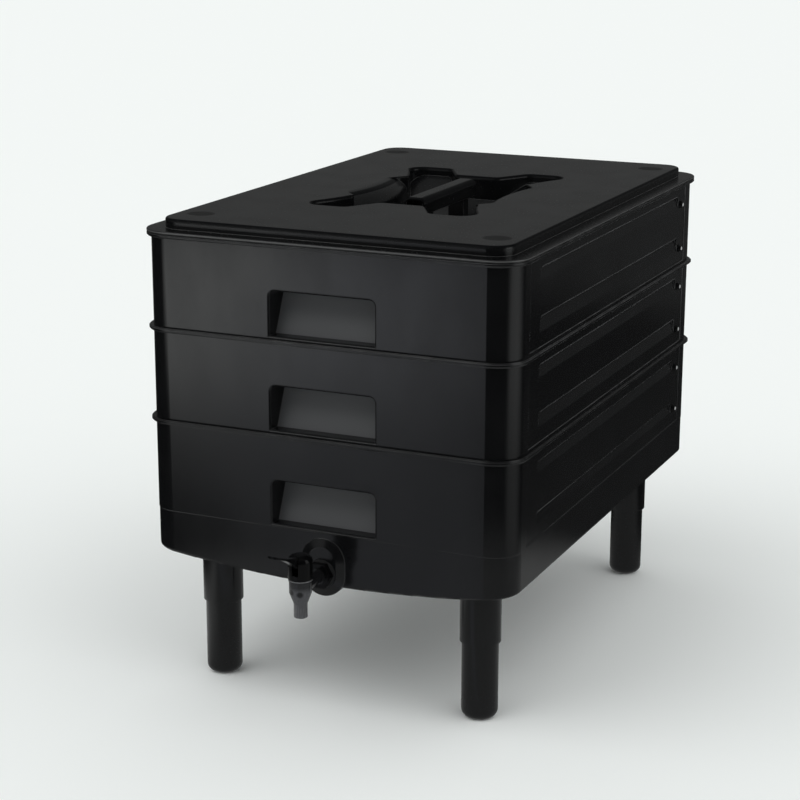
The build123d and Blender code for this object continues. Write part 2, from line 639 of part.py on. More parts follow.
# ---- Tap ------------------------------------------------------------------------------------
def disc(radius, low, high):
    """Upright round block on the barrel's axis."""
    with BuildSketch(Plane.XY.offset(low)) as circle:
        with Locations((0, BARREL_Y)):
            Circle(radius)
    return extrude(circle.sketch, amount=high - low, mode=Mode.PRIVATE)


def rod(radius, near, far):
    """Round block along the tail's axis between two stations, front to back."""
    with BuildSketch(Plane.XZ.offset(-near)) as circle:
        with Locations((0, TAP_HEIGHT)):
            Circle(radius)
    return extrude(circle.sketch, amount=near - far, mode=Mode.PRIVATE)


def build_tap_body():
    """Barrel with ringed mouth, valve seat, cone and spout, and a neck and threaded tail behind."""
    with BuildPart() as body:
        with BuildSketch(Plane.XZ.offset(-BARREL_Y)) as section:
            with BuildLine():
                Polyline(
                    (0, SPOUT_FOOT),
                    (SPOUT_DIAMETER / 2, SPOUT_FOOT),
                    (SPOUT_DIAMETER / 2, CONE_FOOT),
                    (NOZZLE_DIAMETER / 2, CONE_FOOT),
                    (BARREL_DIAMETER / 2, BARREL_FOOT),
                    (BARREL_DIAMETER / 2, BARREL_TOP - RING_HEIGHT),
                    (RING_DIAMETER / 2, BARREL_TOP - RING_HEIGHT),
                    (RING_DIAMETER / 2, BARREL_TOP),
                    (0, BARREL_TOP),
                    close=True,
                )
            make_face()
        revolve(section.sketch, axis=Axis((0, BARREL_Y, 0), (0, 0, 1)))
        add(rod(NECK_DIAMETER / 2, BARREL_Y, TAIL_FRONT))
        add(rod(TAIL_DIAMETER / 2, TAIL_FRONT, NUT_BACK + TAIL_SPARE))
        add(disc(BARREL_BORE / 2, SEAT_TOP, BARREL_TOP), mode=Mode.SUBTRACT)
        add(disc(SEAT_BORE / 2, SEAT_FOOT, SEAT_TOP), mode=Mode.SUBTRACT)
        add(disc(SPOUT_BORE / 2, SPOUT_FOOT, SEAT_FOOT), mode=Mode.SUBTRACT)
        inlet = rod(TAIL_BORE / 2, BARREL_Y, NUT_BACK + TAIL_SPARE)
        add(inlet - disc(BARREL_BORE / 2, CONE_FOOT, SEAT_TOP), mode=Mode.SUBTRACT)
    finish(body, "tap_body")


def build_washer(near, far, label):
    """Rubber washer round the tail."""
    with BuildPart() as washer:
        add(rod(WASHER_DIAMETER / 2, near, far))
        add(rod(TAIL_DIAMETER / 2 + NUT_FIT, near, far), mode=Mode.SUBTRACT)
    finish(washer, label)


def build_nut(near, far, label):
    """Hexagonal nut round the tail."""
    with BuildPart() as nut:
        with BuildSketch(Plane.XZ.offset(-near)) as hexagon:
            with Locations((0, TAP_HEIGHT)):
                RegularPolygon(NUT_ACROSS_FLATS / 2, 6, major_radius=False)
        extrude(hexagon.sketch, amount=near - far)
        add(rod(TAIL_DIAMETER / 2 + NUT_FIT, near, far), mode=Mode.SUBTRACT)
    finish(nut, label)


def build_tap_hood():
    """Domed hood on the barrel: plug and spring pocket below its floor, the lever's slot above."""
    slot_back = PIVOT_Y + ROOT_BACK + SLOT_FIT
    with BuildPart() as hood:
        add(disc(HOOD_DIAMETER / 2, BARREL_TOP, HOOD_TOP))
        fillet(hood.edges().group_by(Axis.Z)[-1], HOOD_ROUND)
        add(disc(BARREL_BORE / 2 - HOOD_PLUG_FIT, BARREL_TOP - HOOD_PLUG, BARREL_TOP))
        add(disc(HOOD_BORE / 2, FLOOR_TOP, HOOD_TOP - HOOD_ROOF), mode=Mode.SUBTRACT)
        with BuildSketch(Plane.XY.offset(FLOOR_TOP)) as slot:
            with Locations((0, slot_back - HOOD_DIAMETER / 2)):
                Rectangle(LEVER_HUB + 2 * SLOT_FIT, HOOD_DIAMETER)
        extrude(slot.sketch, amount=HOOD_HEIGHT, mode=Mode.SUBTRACT)
        pocket = disc(SPRING_POCKET_DIAMETER / 2, BARREL_TOP - HOOD_PLUG, SPRING_TOP)
        add(pocket, mode=Mode.SUBTRACT)
        add(disc(STEM_DIAMETER / 2 + STEM_FIT, SPRING_TOP, FLOOR_TOP), mode=Mode.SUBTRACT)
        with BuildSketch(Plane.YZ.offset(PIN_LENGTH / 2)) as pin_hole:
            with Locations((PIVOT_Y, PIVOT_Z)):
                Circle(PIN_DIAMETER / 2)
        extrude(pin_hole.sketch, amount=-HOOD_DIAMETER, mode=Mode.SUBTRACT)
    finish(hood, "tap_bonnet")


def build_lever():
    """Press lever: spoon paddle, deep root in the hood's slot, two tines under the stem's head."""
    tine_inner = STEM_DIAMETER / 2 + TINE_FIT
    tine_outer = tine_inner + TINE_WIDTH
    stem_y = PIVOT_Y + PIVOT_AHEAD
    yoke_near = stem_y - YOKE_AHEAD
    yoke_far = stem_y - STEM_DIAMETER / 2 - THROAT_FIT
    root_y = PIVOT_Y + ROOT_BACK
    root_foot = (PIVOT_Y - ROOT_AHEAD, PIVOT_Z - ROOT_FOOT)
    tip_y = PIVOT_Y - LEVER_REACH
    middle_y, middle_z = PIVOT_Y - LEVER_MIDDLE[0], PIVOT_Z + LEVER_MIDDLE[1]
    tip_z = PIVOT_Z + LEVER_LIFT
    with BuildSketch(Plane.YZ) as side_view:
        with BuildLine():
            ThreePointArc((root_y, PIVOT_Z + ROOT_TOP), (middle_y, middle_z), (tip_y, tip_z))
            Line((tip_y, tip_z), (tip_y, tip_z - LEVER_THICKNESS))
            ThreePointArc(
                (tip_y, tip_z - LEVER_THICKNESS), (middle_y, middle_z - LEVER_DEEP), root_foot
            )
            Polyline(root_foot, (root_y, PIVOT_Z - ROOT_FOOT), (root_y, PIVOT_Z + ROOT_TOP))
        make_face()
    with BuildSketch(Plane.XY.offset(BARREL_TOP)) as plan:
        with Locations((0, (root_y + tip_y + PADDLE_ROUND) / 2)):
            Rectangle(LEVER_HUB, root_y - tip_y - PADDLE_ROUND)
        with Locations((0, tip_y + PADDLE_LENGTH / 2)):
            RectangleRounded(PADDLE_WIDTH, PADDLE_LENGTH, PADDLE_ROUND)
    with BuildSketch(Plane.YZ) as yoke_view:
        with BuildLine():
            Line((PIVOT_Y, NOSE_Z), (stem_y, NOSE_Z))
        trace(line_width=2 * NOSE_RADIUS)
        with Locations((stem_y, NOSE_Z)):
            Circle(NOSE_RADIUS)
    with BuildSketch(Plane.XY.offset(BARREL_TOP)) as yoke_plan:
        with Locations((0, (PIVOT_Y + yoke_far) / 2)):
            Rectangle(LEVER_HUB, yoke_far - PIVOT_Y)
        with Locations((0, (yoke_near + stem_y + NOSE_RADIUS) / 2)):
            Rectangle(2 * tine_outer, stem_y + NOSE_RADIUS - yoke_near)
        with Locations((0, (yoke_far + stem_y + BARREL_DIAMETER) / 2)):
            Rectangle(2 * tine_inner, stem_y + BARREL_DIAMETER - yoke_far, mode=Mode.SUBTRACT)
    with BuildPart() as lever:
        for view, top_view in ((side_view, plan), (yoke_view, yoke_plan)):
            sideways = extrude(view.sketch, amount=PADDLE_WIDTH, both=True, mode=Mode.PRIVATE)
            upright = extrude(top_view.sketch, amount=2 * HOOD_HEIGHT, mode=Mode.PRIVATE)
            add(sideways & upright)
        with BuildSketch(Plane.YZ) as hub:
            with Locations((PIVOT_Y, PIVOT_Z)):
                Circle(HUB_RADIUS)
        extrude(hub.sketch, amount=LEVER_HUB / 2, both=True)
        with BuildSketch(Plane.YZ) as pin_hole:
            with Locations((PIVOT_Y, PIVOT_Z)):
                Circle(PIN_DIAMETER / 2 + PIN_FIT)
        extrude(pin_hole.sketch, amount=LEVER_HUB, both=True, mode=Mode.SUBTRACT)
    finish(lever, "tap_lever")
    with BuildPart() as pin:
        with BuildSketch(Plane.YZ) as end:
            with Locations((PIVOT_Y, PIVOT_Z)):
                Circle(PIN_DIAMETER / 2)
        extrude(end.sketch, amount=PIN_LENGTH / 2, both=True)
    finish(pin, "lever_pin")


def build_nozzle():
    """Nozzle sleeve pushed up over the spout."""
    with BuildPart() as nozzle:
        add(disc(NOZZLE_DIAMETER / 2, CONE_FOOT - NOZZLE_LENGTH, CONE_FOOT))
        chamfer(nozzle.edges().group_by(Axis.Z)[0], NOZZLE_EDGE)
        bore = disc(SPOUT_DIAMETER / 2 + NOZZLE_FIT, CONE_FOOT - NOZZLE_LENGTH, CONE_FOOT)
        add(bore, mode=Mode.SUBTRACT)
    finish(nozzle, "tap_nozzle")


def build_valve():
    """Stem with its disc and head, the rubber seal under it and the spring round it."""
    seal_top = SEAT_TOP + SEAL_THICKNESS
    with BuildPart() as stem:
        add(disc(STEM_DISC_DIAMETER / 2, seal_top, SPRING_FOOT))
        add(disc(STEM_DIAMETER / 2, seal_top, HEAD_FOOT))
        add(disc(STEM_HEAD_DIAMETER / 2, HEAD_FOOT, HEAD_FOOT + STEM_HEAD))
        chamfer(stem.edges().group_by(Axis.Z)[-1], STEM_HEAD_CHAMFER)
    finish(stem, "valve_stem")
    with BuildPart() as seal:
        add(disc(SEAL_DIAMETER / 2, SEAT_TOP, seal_top))
        chamfer(seal.edges().group_by(Axis.Z)[0], SEAL_CHAMFER)
    finish(seal, "valve_seal")
    height = SPRING_TOP - SPRING_FOOT - SPRING_WIRE
    with BuildPart() as spring:
        with BuildLine() as coil:
            Helix(height / SPRING_TURNS, height, SPRING_DIAMETER / 2,
                  center=(0, BARREL_Y, SPRING_FOOT + SPRING_WIRE / 2))
        with BuildSketch(Plane(origin=coil.line @ 0, z_dir=coil.line % 0)) as wire:
            RegularPolygon(SPRING_WIRE / 2, SPRING_SIDE_COUNT)
        sweep(wire.sketch, path=coil.line, is_frenet=True)
    finish(spring, "valve_spring")


os.makedirs("parts", exist_ok=True)
build_tray(BASE_RIM, "middle_tray")
build_tray(MIDDLE_RIM, "upper_tray")
build_base()
for side, across in (("left", -LEG_X), ("right", LEG_X)):
    for end, along in (("front", -LEG_Y), ("back", LEG_Y)):
        build_leg(across, along, f"leg_{end}_{side}")
build_lid()
build_handle()
build_tap_body()
build_washer(WASHER_FACE, BOSS_FACE, "tap_washer_outer")
build_washer(WALL_BACK, WALL_BACK + INNER_WASHER, "tap_washer_inner")
build_nut(TAIL_FRONT + TAIL_SHOULDER, WASHER_FACE, "tap_front_nut")
build_nut(WALL_BACK + INNER_WASHER, NUT_BACK, "tap_lock_nut")
build_tap_hood()
build_lever()
build_nozzle()
build_valve()
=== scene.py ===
"""Looks of a stacking worm bin: a lid with a sunken carrying bar, two drained trays and a sump base
on four plug-in legs with a press tap. Metres, +Z up, front towards -Y."""

import logging
import math
from dataclasses import dataclass
from enum import Enum
from typing import Optional, Union

import bmesh
import bpy
from bpy.types import Material, Node, NodeSocket, NodeTree, Object
from mathutils import Matrix, Vector


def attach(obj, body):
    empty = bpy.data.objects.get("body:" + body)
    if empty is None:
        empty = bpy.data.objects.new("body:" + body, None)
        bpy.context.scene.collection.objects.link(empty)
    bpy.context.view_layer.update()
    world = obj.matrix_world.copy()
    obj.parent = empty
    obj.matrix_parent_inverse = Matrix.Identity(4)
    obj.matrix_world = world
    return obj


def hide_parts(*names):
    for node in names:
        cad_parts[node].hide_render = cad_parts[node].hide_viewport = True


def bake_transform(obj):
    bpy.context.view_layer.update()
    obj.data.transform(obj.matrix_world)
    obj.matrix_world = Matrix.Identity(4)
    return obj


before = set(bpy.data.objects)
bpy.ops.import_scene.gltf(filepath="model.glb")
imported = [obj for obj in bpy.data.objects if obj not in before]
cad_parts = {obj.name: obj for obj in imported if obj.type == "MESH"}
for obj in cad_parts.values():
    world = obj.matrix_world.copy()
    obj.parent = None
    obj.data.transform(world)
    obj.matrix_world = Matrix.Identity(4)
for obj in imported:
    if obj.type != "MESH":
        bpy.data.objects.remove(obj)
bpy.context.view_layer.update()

Colour = tuple[float, float, float]
Point = tuple[float, float, float]
Span = tuple[float, float]
Value = Union[float, Colour, NodeSocket]
MM = 0.001
STACK_MIDDLE = 50.75 * MM
BEVEL_SAMPLES = 8
EDGE_TURN: Span = (0.97, 0.74)
log = logging.getLogger("worm_bin")


class Side(Enum):
    """The bin's two long sides, by the way they face along X."""

    RIGHT = 1
    LEFT = -1


@dataclass(frozen=True)
class Patches:
    """A random pattern: size of a patch in metres, finer layers, and the span of it that counts."""

    size: float
    layers: float
    low: float
    high: float


class ShaderSheet:
    """Adds and wires the nodes of one material or of the world."""

    def __init__(self, tree: NodeTree) -> None:
        """Empties the tree, ready for new nodes."""
        self.tree = tree
        tree.nodes.clear()

    def fill(self, socket: NodeSocket, value: Value) -> None:
        """Wires an input or sets its value.

        Args:
            socket: the input.
            value: another node's socket, a number, a vector or a colour.
        """
        if isinstance(value, NodeSocket):
            self.tree.links.new(value, socket)
        elif isinstance(value, tuple) and len(value) == 3 and socket.type == "RGBA":
            socket.default_value = (*value, 1.0)
        else:
            socket.default_value = value

    def node(self, kind: str, inputs: Optional[dict] = None, **settings: object) -> Node:
        """Adds one node.

        Args:
            kind: Blender's class name for the node.
            inputs: values or sockets by input name or number.
            settings: the node's own properties.

        Returns:
            The new node.
        """
        made = self.tree.nodes.new(kind)
        for name, value in settings.items():
            setattr(made, name, value)
        for key, value in (inputs or {}).items():
            self.fill(made.inputs[key], value)
        return made

    def surface(self, kind: str, inputs: dict) -> None:
        """Adds the shader and wires it to the material's surface.

        Args:
            kind: Blender's class name for the shader.
            inputs: values or sockets by input name.
        """
        shader = self.node(kind, inputs)
        self.node("ShaderNodeOutputMaterial", {"Surface": shader.outputs[0]})

    def place(self) -> NodeSocket:
        """Returns the object's own coordinates, in metres."""
        return self.node("ShaderNodeTexCoord").outputs["Object"]

    def facing(self) -> NodeSocket:
        """Returns the way the bare surface faces."""
        return self.node("ShaderNodeNewGeometry").outputs["Normal"]

    def rounded(self, width: float) -> NodeSocket:
        """Returns the way the surface faces once its edges are rounded."""
        made = self.node("ShaderNodeBevel", {"Radius": width}, samples=BEVEL_SAMPLES)
        return made.outputs["Normal"]

    def split(self, vector: Optional[NodeSocket] = None) -> tuple[NodeSocket, ...]:
        """Returns the X, Y and Z of a vector, or of the object's own coordinates."""
        return tuple(self.node("ShaderNodeSeparateXYZ", {0: vector or self.place()}).outputs)

    def stretched(self, scale: Point) -> NodeSocket:
        """Returns the object's coordinates with each axis scaled."""
        turned = self.node("ShaderNodeMapping", {"Vector": self.place(), "Scale": scale})
        return turned.outputs["Vector"]

    def noise(
        self, pitch: float, detail: float = 2.0, where: Optional[NodeSocket] = None
    ) -> NodeSocket:
        """Makes soft random patches.

        Args:
            pitch: size of a patch in metres.
            detail: how many finer layers are added.
            where: coordinates, or the object's own.

        Returns:
            A value from 0 to 1, mostly near 0.5.
        """
        made = self.node(
            "ShaderNodeTexNoise",
            {"Vector": where or self.place(), "Scale": 1.0 / pitch, "Detail": detail},
        )
        return made.outputs["Fac"]

    def spread(
        self, value: NodeSocket, low: float, high: float, to_low: float, to_high: float
    ) -> NodeSocket:
        """Maps a span of a value to another span, smoothly and never past its ends.

        Args:
            value: the value.
            low: one end of its span.
            high: the other end.
            to_low: what the first end becomes.
            to_high: what the other end becomes.

        Returns:
            The mapped value.
        """
        made = self.node(
            "ShaderNodeMapRange",
            {0: value, 1: low, 2: high, 3: to_low, 4: to_high},
            interpolation_type="SMOOTHSTEP",
        )
        return made.outputs[0]

    def patchy(
        self, patches: Patches, to_low: float, to_high: float, where: Optional[NodeSocket] = None
    ) -> NodeSocket:
        """Varies a value in random patches.

        Args:
            patches: the pattern.
            to_low: the value where the pattern is low.
            to_high: the value where it is high.
            where: coordinates, or the object's own.

        Returns:
            The value.
        """
        pattern = self.noise(patches.size, patches.layers, where)
        return self.spread(pattern, patches.low, patches.high, to_low, to_high)

    def sum(self, kind: str, first: Value, second: Value = 0.0) -> NodeSocket:
        """Does one sum on two values, such as ADD or GREATER_THAN."""
        return self.node("ShaderNodeMath", {0: first, 1: second}, operation=kind).outputs[0]

    def times(self, first: Value, second: Value) -> NodeSocket:
        """Multiplies two values."""
        return self.sum("MULTIPLY", first, second)

    def most(self, first: Value, second: Value) -> NodeSocket:
        """Returns the greater of two values."""
        return self.sum("MAXIMUM", first, second)

    def apart(self, value: Value, middle: float) -> NodeSocket:
        """Returns how far a value is from a middle."""
        return self.sum("ABSOLUTE", self.sum("SUBTRACT", value, middle))

    def blend(self, share: Value, first: Value, second: Value) -> NodeSocket:
        """Mixes two colours.

        Args:
            share: how much of the second shows, from 0 to 1.
            first: the colour at 0.
            second: the colour at 1.

        Returns:
            The mixed colour.
        """
        made = self.node(
            "ShaderNodeMix",
            {"Factor": share, 6: first, 7: second},
            data_type="RGBA",
            clamp_factor=True,
        )
        return made.outputs[2]

    def relief(
        self, height: NodeSocket, depth: float, base: Optional[NodeSocket] = None
    ) -> NodeSocket:
        """Turns a height from 0 to 1 into a raised surface.

        Args:
            height: the pattern.
            depth: metres from its lowest to its highest point.
            base: a normal to start from.

        Returns:
            The new normal.
        """
        inputs: dict = {"Height": height, "Distance": depth, "Strength": 1.0}
        if base is not None:
            inputs["Normal"] = base
        return self.node("ShaderNodeBump", inputs).outputs["Normal"]

    def edges(self, width: float) -> tuple[NodeSocket, NodeSocket]:
        """Finds edges within a width.

        Args:
            width: metres from the edge.

        Returns:
            A normal rounded over the edges, and a value that is 1 on them.
        """
        rounded = self.rounded(width)
        along = self.node(
            "ShaderNodeVectorMath", {0: rounded, 1: self.facing()}, operation="DOT_PRODUCT"
        )
        return rounded, self.spread(along.outputs["Value"], *EDGE_TURN, 0.0, 1.0)


def new_sheet(name: str) -> tuple[Material, ShaderSheet]:
    """Makes an empty material.

    Args:
        name: the material's name.

    Returns:
        The material and the sheet for its nodes.
    """
    material = bpy.data.materials.new(name)
    material.use_nodes = True
    return material, ShaderSheet(material.node_tree)


def dress(piece: Object, material: Material) -> None:
    """Gives every face of a piece one material.

    Args:
        piece: the piece.
        material: its finish.
    """
    piece.data.materials.clear()
    piece.data.materials.append(material)
    log.info("%s is finished in %s", piece.name, material.name)


@dataclass(frozen=True)
class MouldedPlastic:
    """Satin black polypropylene, as it leaves a finely sparked mould.

    Edges are paler, partly rubbed wear and partly painted highlight. Above the crown, edges are
    wide, kept free of that paleness and dull. The rim carries a painted highlight line at one
    height, standing partly for rubbing. The upper groove edges carry painted highlight lines, and
    the back of a hand recess is painted paler as painted light. Marks, groove tops and a recess are
    given only for the pieces that have them.
    """

    name: str
    colour: Colour = (0.0032, 0.0033, 0.0037)
    faded: Colour = (0.0045, 0.0046, 0.0050)
    clouds: Patches = Patches(70 * MM, 4.0, 0.35, 0.7)
    # Paler edge colour: partly rubbed wear, partly painted highlight.
    pale_edge_colour: Colour = (0.11, 0.11, 0.113)
    rub_and_highlight_patches: Patches = Patches(24 * MM, 3.0, 0.32, 0.68)
    rub_and_highlight_levels: Span = (0.4, 0.8)
    roughness: float = 0.13
    handled: float = 0.08
    wipes: Patches = Patches(35 * MM, 5.0, 0.3, 0.72)
    wipe_scale: Point = (1.0, 1.0, 0.35)
    specks: Patches = Patches(2.2 * MM, 1.0, 0.68, 0.74)
    speck_rough: float = 0.06
    rubbed_rough: float = 0.15
    shine: float = 0.5
    index: float = 1.49
    grain: float = 0.9 * MM
    grain_depth: float = 0.008 * MM
    ripple: float = 110 * MM
    ripple_depth: float = 0.12 * MM
    edge: float = 1.3 * MM
    crown: Optional[float] = None
    crown_edge: float = 3.4 * MM
    crown_steep: Span = (0.2, 0.35)
    crown_level: Span = (0.95, 0.985)
    crown_shine: float = 0.03
    rim: float = 471.0 * MM
    rim_half: float = 0.8 * MM
    rim_outside: Span = (150 * MM, 250 * MM)
    rim_upright: Span = (0.5, 0.8)
    # Level of the painted highlight line on the rim.
    rim_highlight: float = 0.45
    marks: tuple[Span, ...] = ()
    mark_size: Span = (14.0 * MM, 12.0 * MM)
    mark_edge: Span = (0.7, 1.25)
    mark_rough: float = 0.20
    groove_tops: tuple[float, ...] = ()
    groove_wall: float = 193.4 * MM
    groove_half: float = 218 * MM
    groove_shift: float = 2 * MM
    groove_rise: float = 0.4 * MM
    groove_line: float = 0.6 * MM
    # Painted highlight along the upper groove edges, in patches.
    groove_highlight_patches: Patches = Patches(70 * MM, 4.0, 0.3, 0.7)
    groove_highlight_levels: Span = (0.35, 0.7)
    recess_foot: Optional[float] = None
    recess_half: float = 56 * MM
    recess_depths: Span = (245 * MM, 281 * MM)
    recess_slopes: Span = (0.3, 0.6)
    recess_shade: Span = (14 * MM, 46 * MM)
    recess_rough: float = 0.35
    # Painted light: the recess back is painted paler, and paler towards its head.
    recess_painted_light: Colour = (0.060, 0.0612, 0.065)
    recess_head_painted_light: Colour = (0.104, 0.106, 0.111)

    def recess_back(self, sheet: ShaderSheet) -> NodeSocket:
        """Finds the sloping back of a hand recess.

        Args:
            sheet: the sheet of the finish.

        Returns:
            A value that is 1 on the slope.
        """
        east, north, _ = sheet.split()
        deep = sheet.apart(north, STACK_MIDDLE)
        slope = sheet.split(sheet.facing())[2]
        found = sheet.sum("GREATER_THAN", slope, self.recess_slopes[0])
        for kind, value, limit in (
            ("LESS_THAN", slope, self.recess_slopes[1]),
            ("LESS_THAN", sheet.sum("ABSOLUTE", east), self.recess_half),
            ("LESS_THAN", deep, self.recess_depths[1]),
            ("GREATER_THAN", deep, self.recess_depths[0]),
        ):
            found = sheet.times(found, sheet.sum(kind, value, limit))
        return found

    def paint_recess_light(
        self, sheet: ShaderSheet, colour: NodeSocket, rough: NodeSocket
    ) -> tuple[NodeSocket, NodeSocket]:
        """Makes the back of a hand recess paler towards its head, and rougher.

        Args:
            sheet: the sheet of the finish.
            colour: the colour elsewhere.
            rough: the roughness elsewhere.

        Returns:
            The colour with the recess's painted light, and the roughness with the recess in it.
        """
        back = self.recess_back(sheet)
        low, high = (self.recess_foot + part for part in self.recess_shade)
        head = sheet.spread(sheet.split()[2], low, high, 0.0, 1.0)
        # Painted light on the recess back, lighter towards its head where it would be shaded.
        painted_panel = sheet.blend(head, self.recess_painted_light, self.recess_head_painted_light)
        colour = sheet.blend(back, colour, painted_panel)
        return colour, sheet.sum("ADD", rough, sheet.times(back, self.recess_rough))

    def groove_highlight_lines(self, sheet: ShaderSheet) -> NodeSocket:
        """Finds the upper edges of the side grooves, where a highlight line is painted.

        Args:
            sheet: the sheet of the finish.

        Returns:
            A value that is 1 on the edges.
        """
        east, north, height = sheet.split()
        along = sheet.apart(north, STACK_MIDDLE + self.groove_shift)
        side = sheet.times(
            sheet.sum("GREATER_THAN", sheet.sum("ABSOLUTE", east), self.groove_wall),
            sheet.sum("LESS_THAN", along, self.groove_half),
        )
        found: Value = 0.0
        for top in self.groove_tops:
            away = sheet.apart(height, top * MM + self.groove_rise)
            found = sheet.most(sheet.sum("LESS_THAN", away, self.groove_line), found)
        return sheet.times(side, found)

    def rim_highlight_line(self, sheet: ShaderSheet) -> NodeSocket:
        """Finds the outer rim, where a pale highlight line is painted that stands partly for
        rubbing where the bin is stacked.

        Args:
            sheet: the sheet of the finish.

        Returns:
            How pale the painted highlight line is.
        """
        east, north, height = sheet.split()
        band = sheet.sum("LESS_THAN", sheet.apart(height, self.rim), self.rim_half)
        aside, deep = self.rim_outside
        outer = sheet.most(
            sheet.sum("GREATER_THAN", sheet.sum("ABSOLUTE", east), aside),
            sheet.sum("GREATER_THAN", sheet.apart(north, STACK_MIDDLE), deep),
        )
        level = sheet.sum("ABSOLUTE", sheet.split(sheet.facing())[2])
        upright = sheet.spread(level, *self.rim_upright, self.rim_highlight, 0.0)
        return sheet.times(sheet.times(band, outer), upright)

    def crowned(
        self, sheet: ShaderSheet, rounded: NodeSocket, pale_edges: NodeSocket
    ) -> tuple[NodeSocket, NodeSocket, NodeSocket]:
        """Rounds the top edges more than the rest, and leaves them dull and free of the paler edge
        colour.

        Args:
            sheet: the sheet of the finish.
            rounded: the normal of the other edges.
            pale_edges: how pale the other edges are, partly rubbed and partly painted highlight.

        Returns:
            The normal, the paleness with its painted highlight, and the shine of all the edges.
        """
        above = sheet.sum("GREATER_THAN", sheet.split()[2], self.crown)
        wide = sheet.rounded(self.crown_edge)
        slope = sheet.split(wide)[2]
        tilted = sheet.times(
            sheet.spread(slope, *self.crown_steep, 0.0, 1.0),
            sheet.spread(slope, *self.crown_level, 1.0, 0.0),
        )
        turned = sheet.times(above, tilted)
        normal = sheet.node(
            "ShaderNodeMix", {"Factor": above, 4: rounded, 5: wide}, data_type="VECTOR"
        )
        # Adds the painted highlight line along the rim.
        pale_edges = sheet.most(pale_edges, self.rim_highlight_line(sheet))
        pale_share = sheet.times(pale_edges, sheet.sum("SUBTRACT", 1.0, above))
        shine = sheet.spread(turned, 0.0, 1.0, self.shine, self.crown_shine)
        return normal.outputs[1], pale_share, shine

    def worn_mark(self, sheet: ShaderSheet, mark: Span) -> NodeSocket:
        """Finds a plain round patch of duller texture.

        Args:
            sheet: the sheet of the finish.
            mark: the middle of the patch.

        Returns:
            A value that is 1 inside the patch.
        """
        squares = []
        for part, middle, size in zip(sheet.split(), mark, self.mark_size):
            share = sheet.sum("DIVIDE", sheet.sum("SUBTRACT", part, middle), size)
            squares.append(sheet.sum("POWER", share, 2.0))
        return sheet.spread(sheet.sum("ADD", *squares), *self.mark_edge, 1.0, 0.0)

    def material(self) -> Material:
        """Builds the finish.

        Returns:
            A material with cloudy colour, handled patches, mould grain and paler edges that are
            partly rubbed and partly painted highlight, plus painted groove highlights and painted
            recess light.
        """
        material, sheet = new_sheet(self.name)
        rounded, edge = sheet.edges(self.edge)
        colour = sheet.blend(sheet.patchy(self.clouds, 0.0, 1.0), self.colour, self.faded)
        # Paler edges: partly rubbed wear, partly painted highlight on every edge.
        pale_edges = sheet.times(edge, sheet.patchy(self.rub_and_highlight_patches, *self.rub_and_highlight_levels))
        # Painted highlight lines along the upper groove edges.
        if self.groove_tops:
            groove_highlight = sheet.patchy(self.groove_highlight_patches, *self.groove_highlight_levels)
            pale_edges = sheet.most(pale_edges, sheet.times(self.groove_highlight_lines(sheet), groove_highlight))
        shine: Value = self.shine
        if self.crown is not None:
            rounded, pale_edges, shine = self.crowned(sheet, rounded, pale_edges)
        # The paler edge colour is partly wear and partly painted highlight.
        colour = sheet.blend(pale_edges, colour, self.pale_edge_colour)
        upwards = sheet.stretched(self.wipe_scale)
        rough = sheet.patchy(self.wipes, self.roughness, self.roughness + self.handled, upwards)
        specks = sheet.patchy(self.specks, 0.0, self.speck_rough)
        dulled = sheet.sum("ADD", specks, sheet.times(pale_edges, self.rubbed_rough))
        rough = sheet.sum("ADD", rough, dulled)
        # Painted light on the back of a hand recess.
        if self.recess_foot is not None:
            colour, rough = self.paint_recess_light(sheet, colour, rough)
        for mark in self.marks:
            spot = self.worn_mark(sheet, mark)
            rough = sheet.sum("ADD", rough, sheet.times(spot, self.mark_rough))
            colour = sheet.blend(spot, colour, self.faded)
        wavy = sheet.relief(sheet.noise(self.ripple, 1.0), self.ripple_depth, rounded)
        normal = sheet.relief(sheet.noise(self.grain), self.grain_depth, wavy)
        sheet.surface(
            "ShaderNodeBsdfPrincipled",
            {
                "Base Color": colour,
                "Roughness": rough,
                "Normal": normal,
                "IOR": self.index,
                "Specular IOR Level": shine,
            },
        )
        return material


@dataclass(frozen=True)
class PolishedPlastic:
    """Glossy black acetal of the tap's parts and the studs, whose tips carry a painted glint."""

    name: str
    colour: Colour = (0.002, 0.002, 0.0022)
    pale_edge_colour: Colour = (0.05, 0.05, 0.052)
    scratches: Patches = Patches(3 * MM, 3.0, 0.4, 0.7)
    scratched: float = 0.7
    roughness: float = 0.07
    wipes: Patches = Patches(6 * MM, 4.0, 0.3, 0.7)
    wiped: float = 0.08
    wave: float = 5 * MM
    wave_depth: float = 0.02 * MM
    edge: float = 0.5 * MM
    # Painted glint on the tip that faces out along X, where given.
    painted_glint: Optional[Colour] = None
    glint_turn: Span = (0.5, 0.7)
    index: float = 1.42
    shine: float = 0.3

    def material(self) -> Material:
        """Builds the finish.

        Returns:
            A material with fine scratches, paler corners and, where given, a painted glint on the
            outward tip.
        """
        material, sheet = new_sheet(self.name)
        rounded, edge = sheet.edges(self.edge)
        pale_edges = sheet.times(edge, sheet.patchy(self.scratches, 0.0, self.scratched))
        colour = sheet.blend(pale_edges, self.colour, self.pale_edge_colour)
        # Painted glint on the tip that faces out along X.
        if self.painted_glint is not None:
            outwards = sheet.sum("ABSOLUTE", sheet.split(sheet.facing())[0])
            pale_share = sheet.spread(outwards, *self.glint_turn, 0.0, 1.0)
            colour = sheet.blend(pale_share, colour, self.painted_glint)
        rough = sheet.patchy(self.wipes, self.roughness, self.roughness + self.wiped)
        normal = sheet.relief(sheet.noise(self.wave, 1.0), self.wave_depth, rounded)
        sheet.surface(
            "ShaderNodeBsdfPrincipled",
            {
                "Base Color": colour,
                "Roughness": rough,
                "Normal": normal,
                "IOR": self.index,
                "Specular IOR Level": self.shine,
            },
        )
        return material


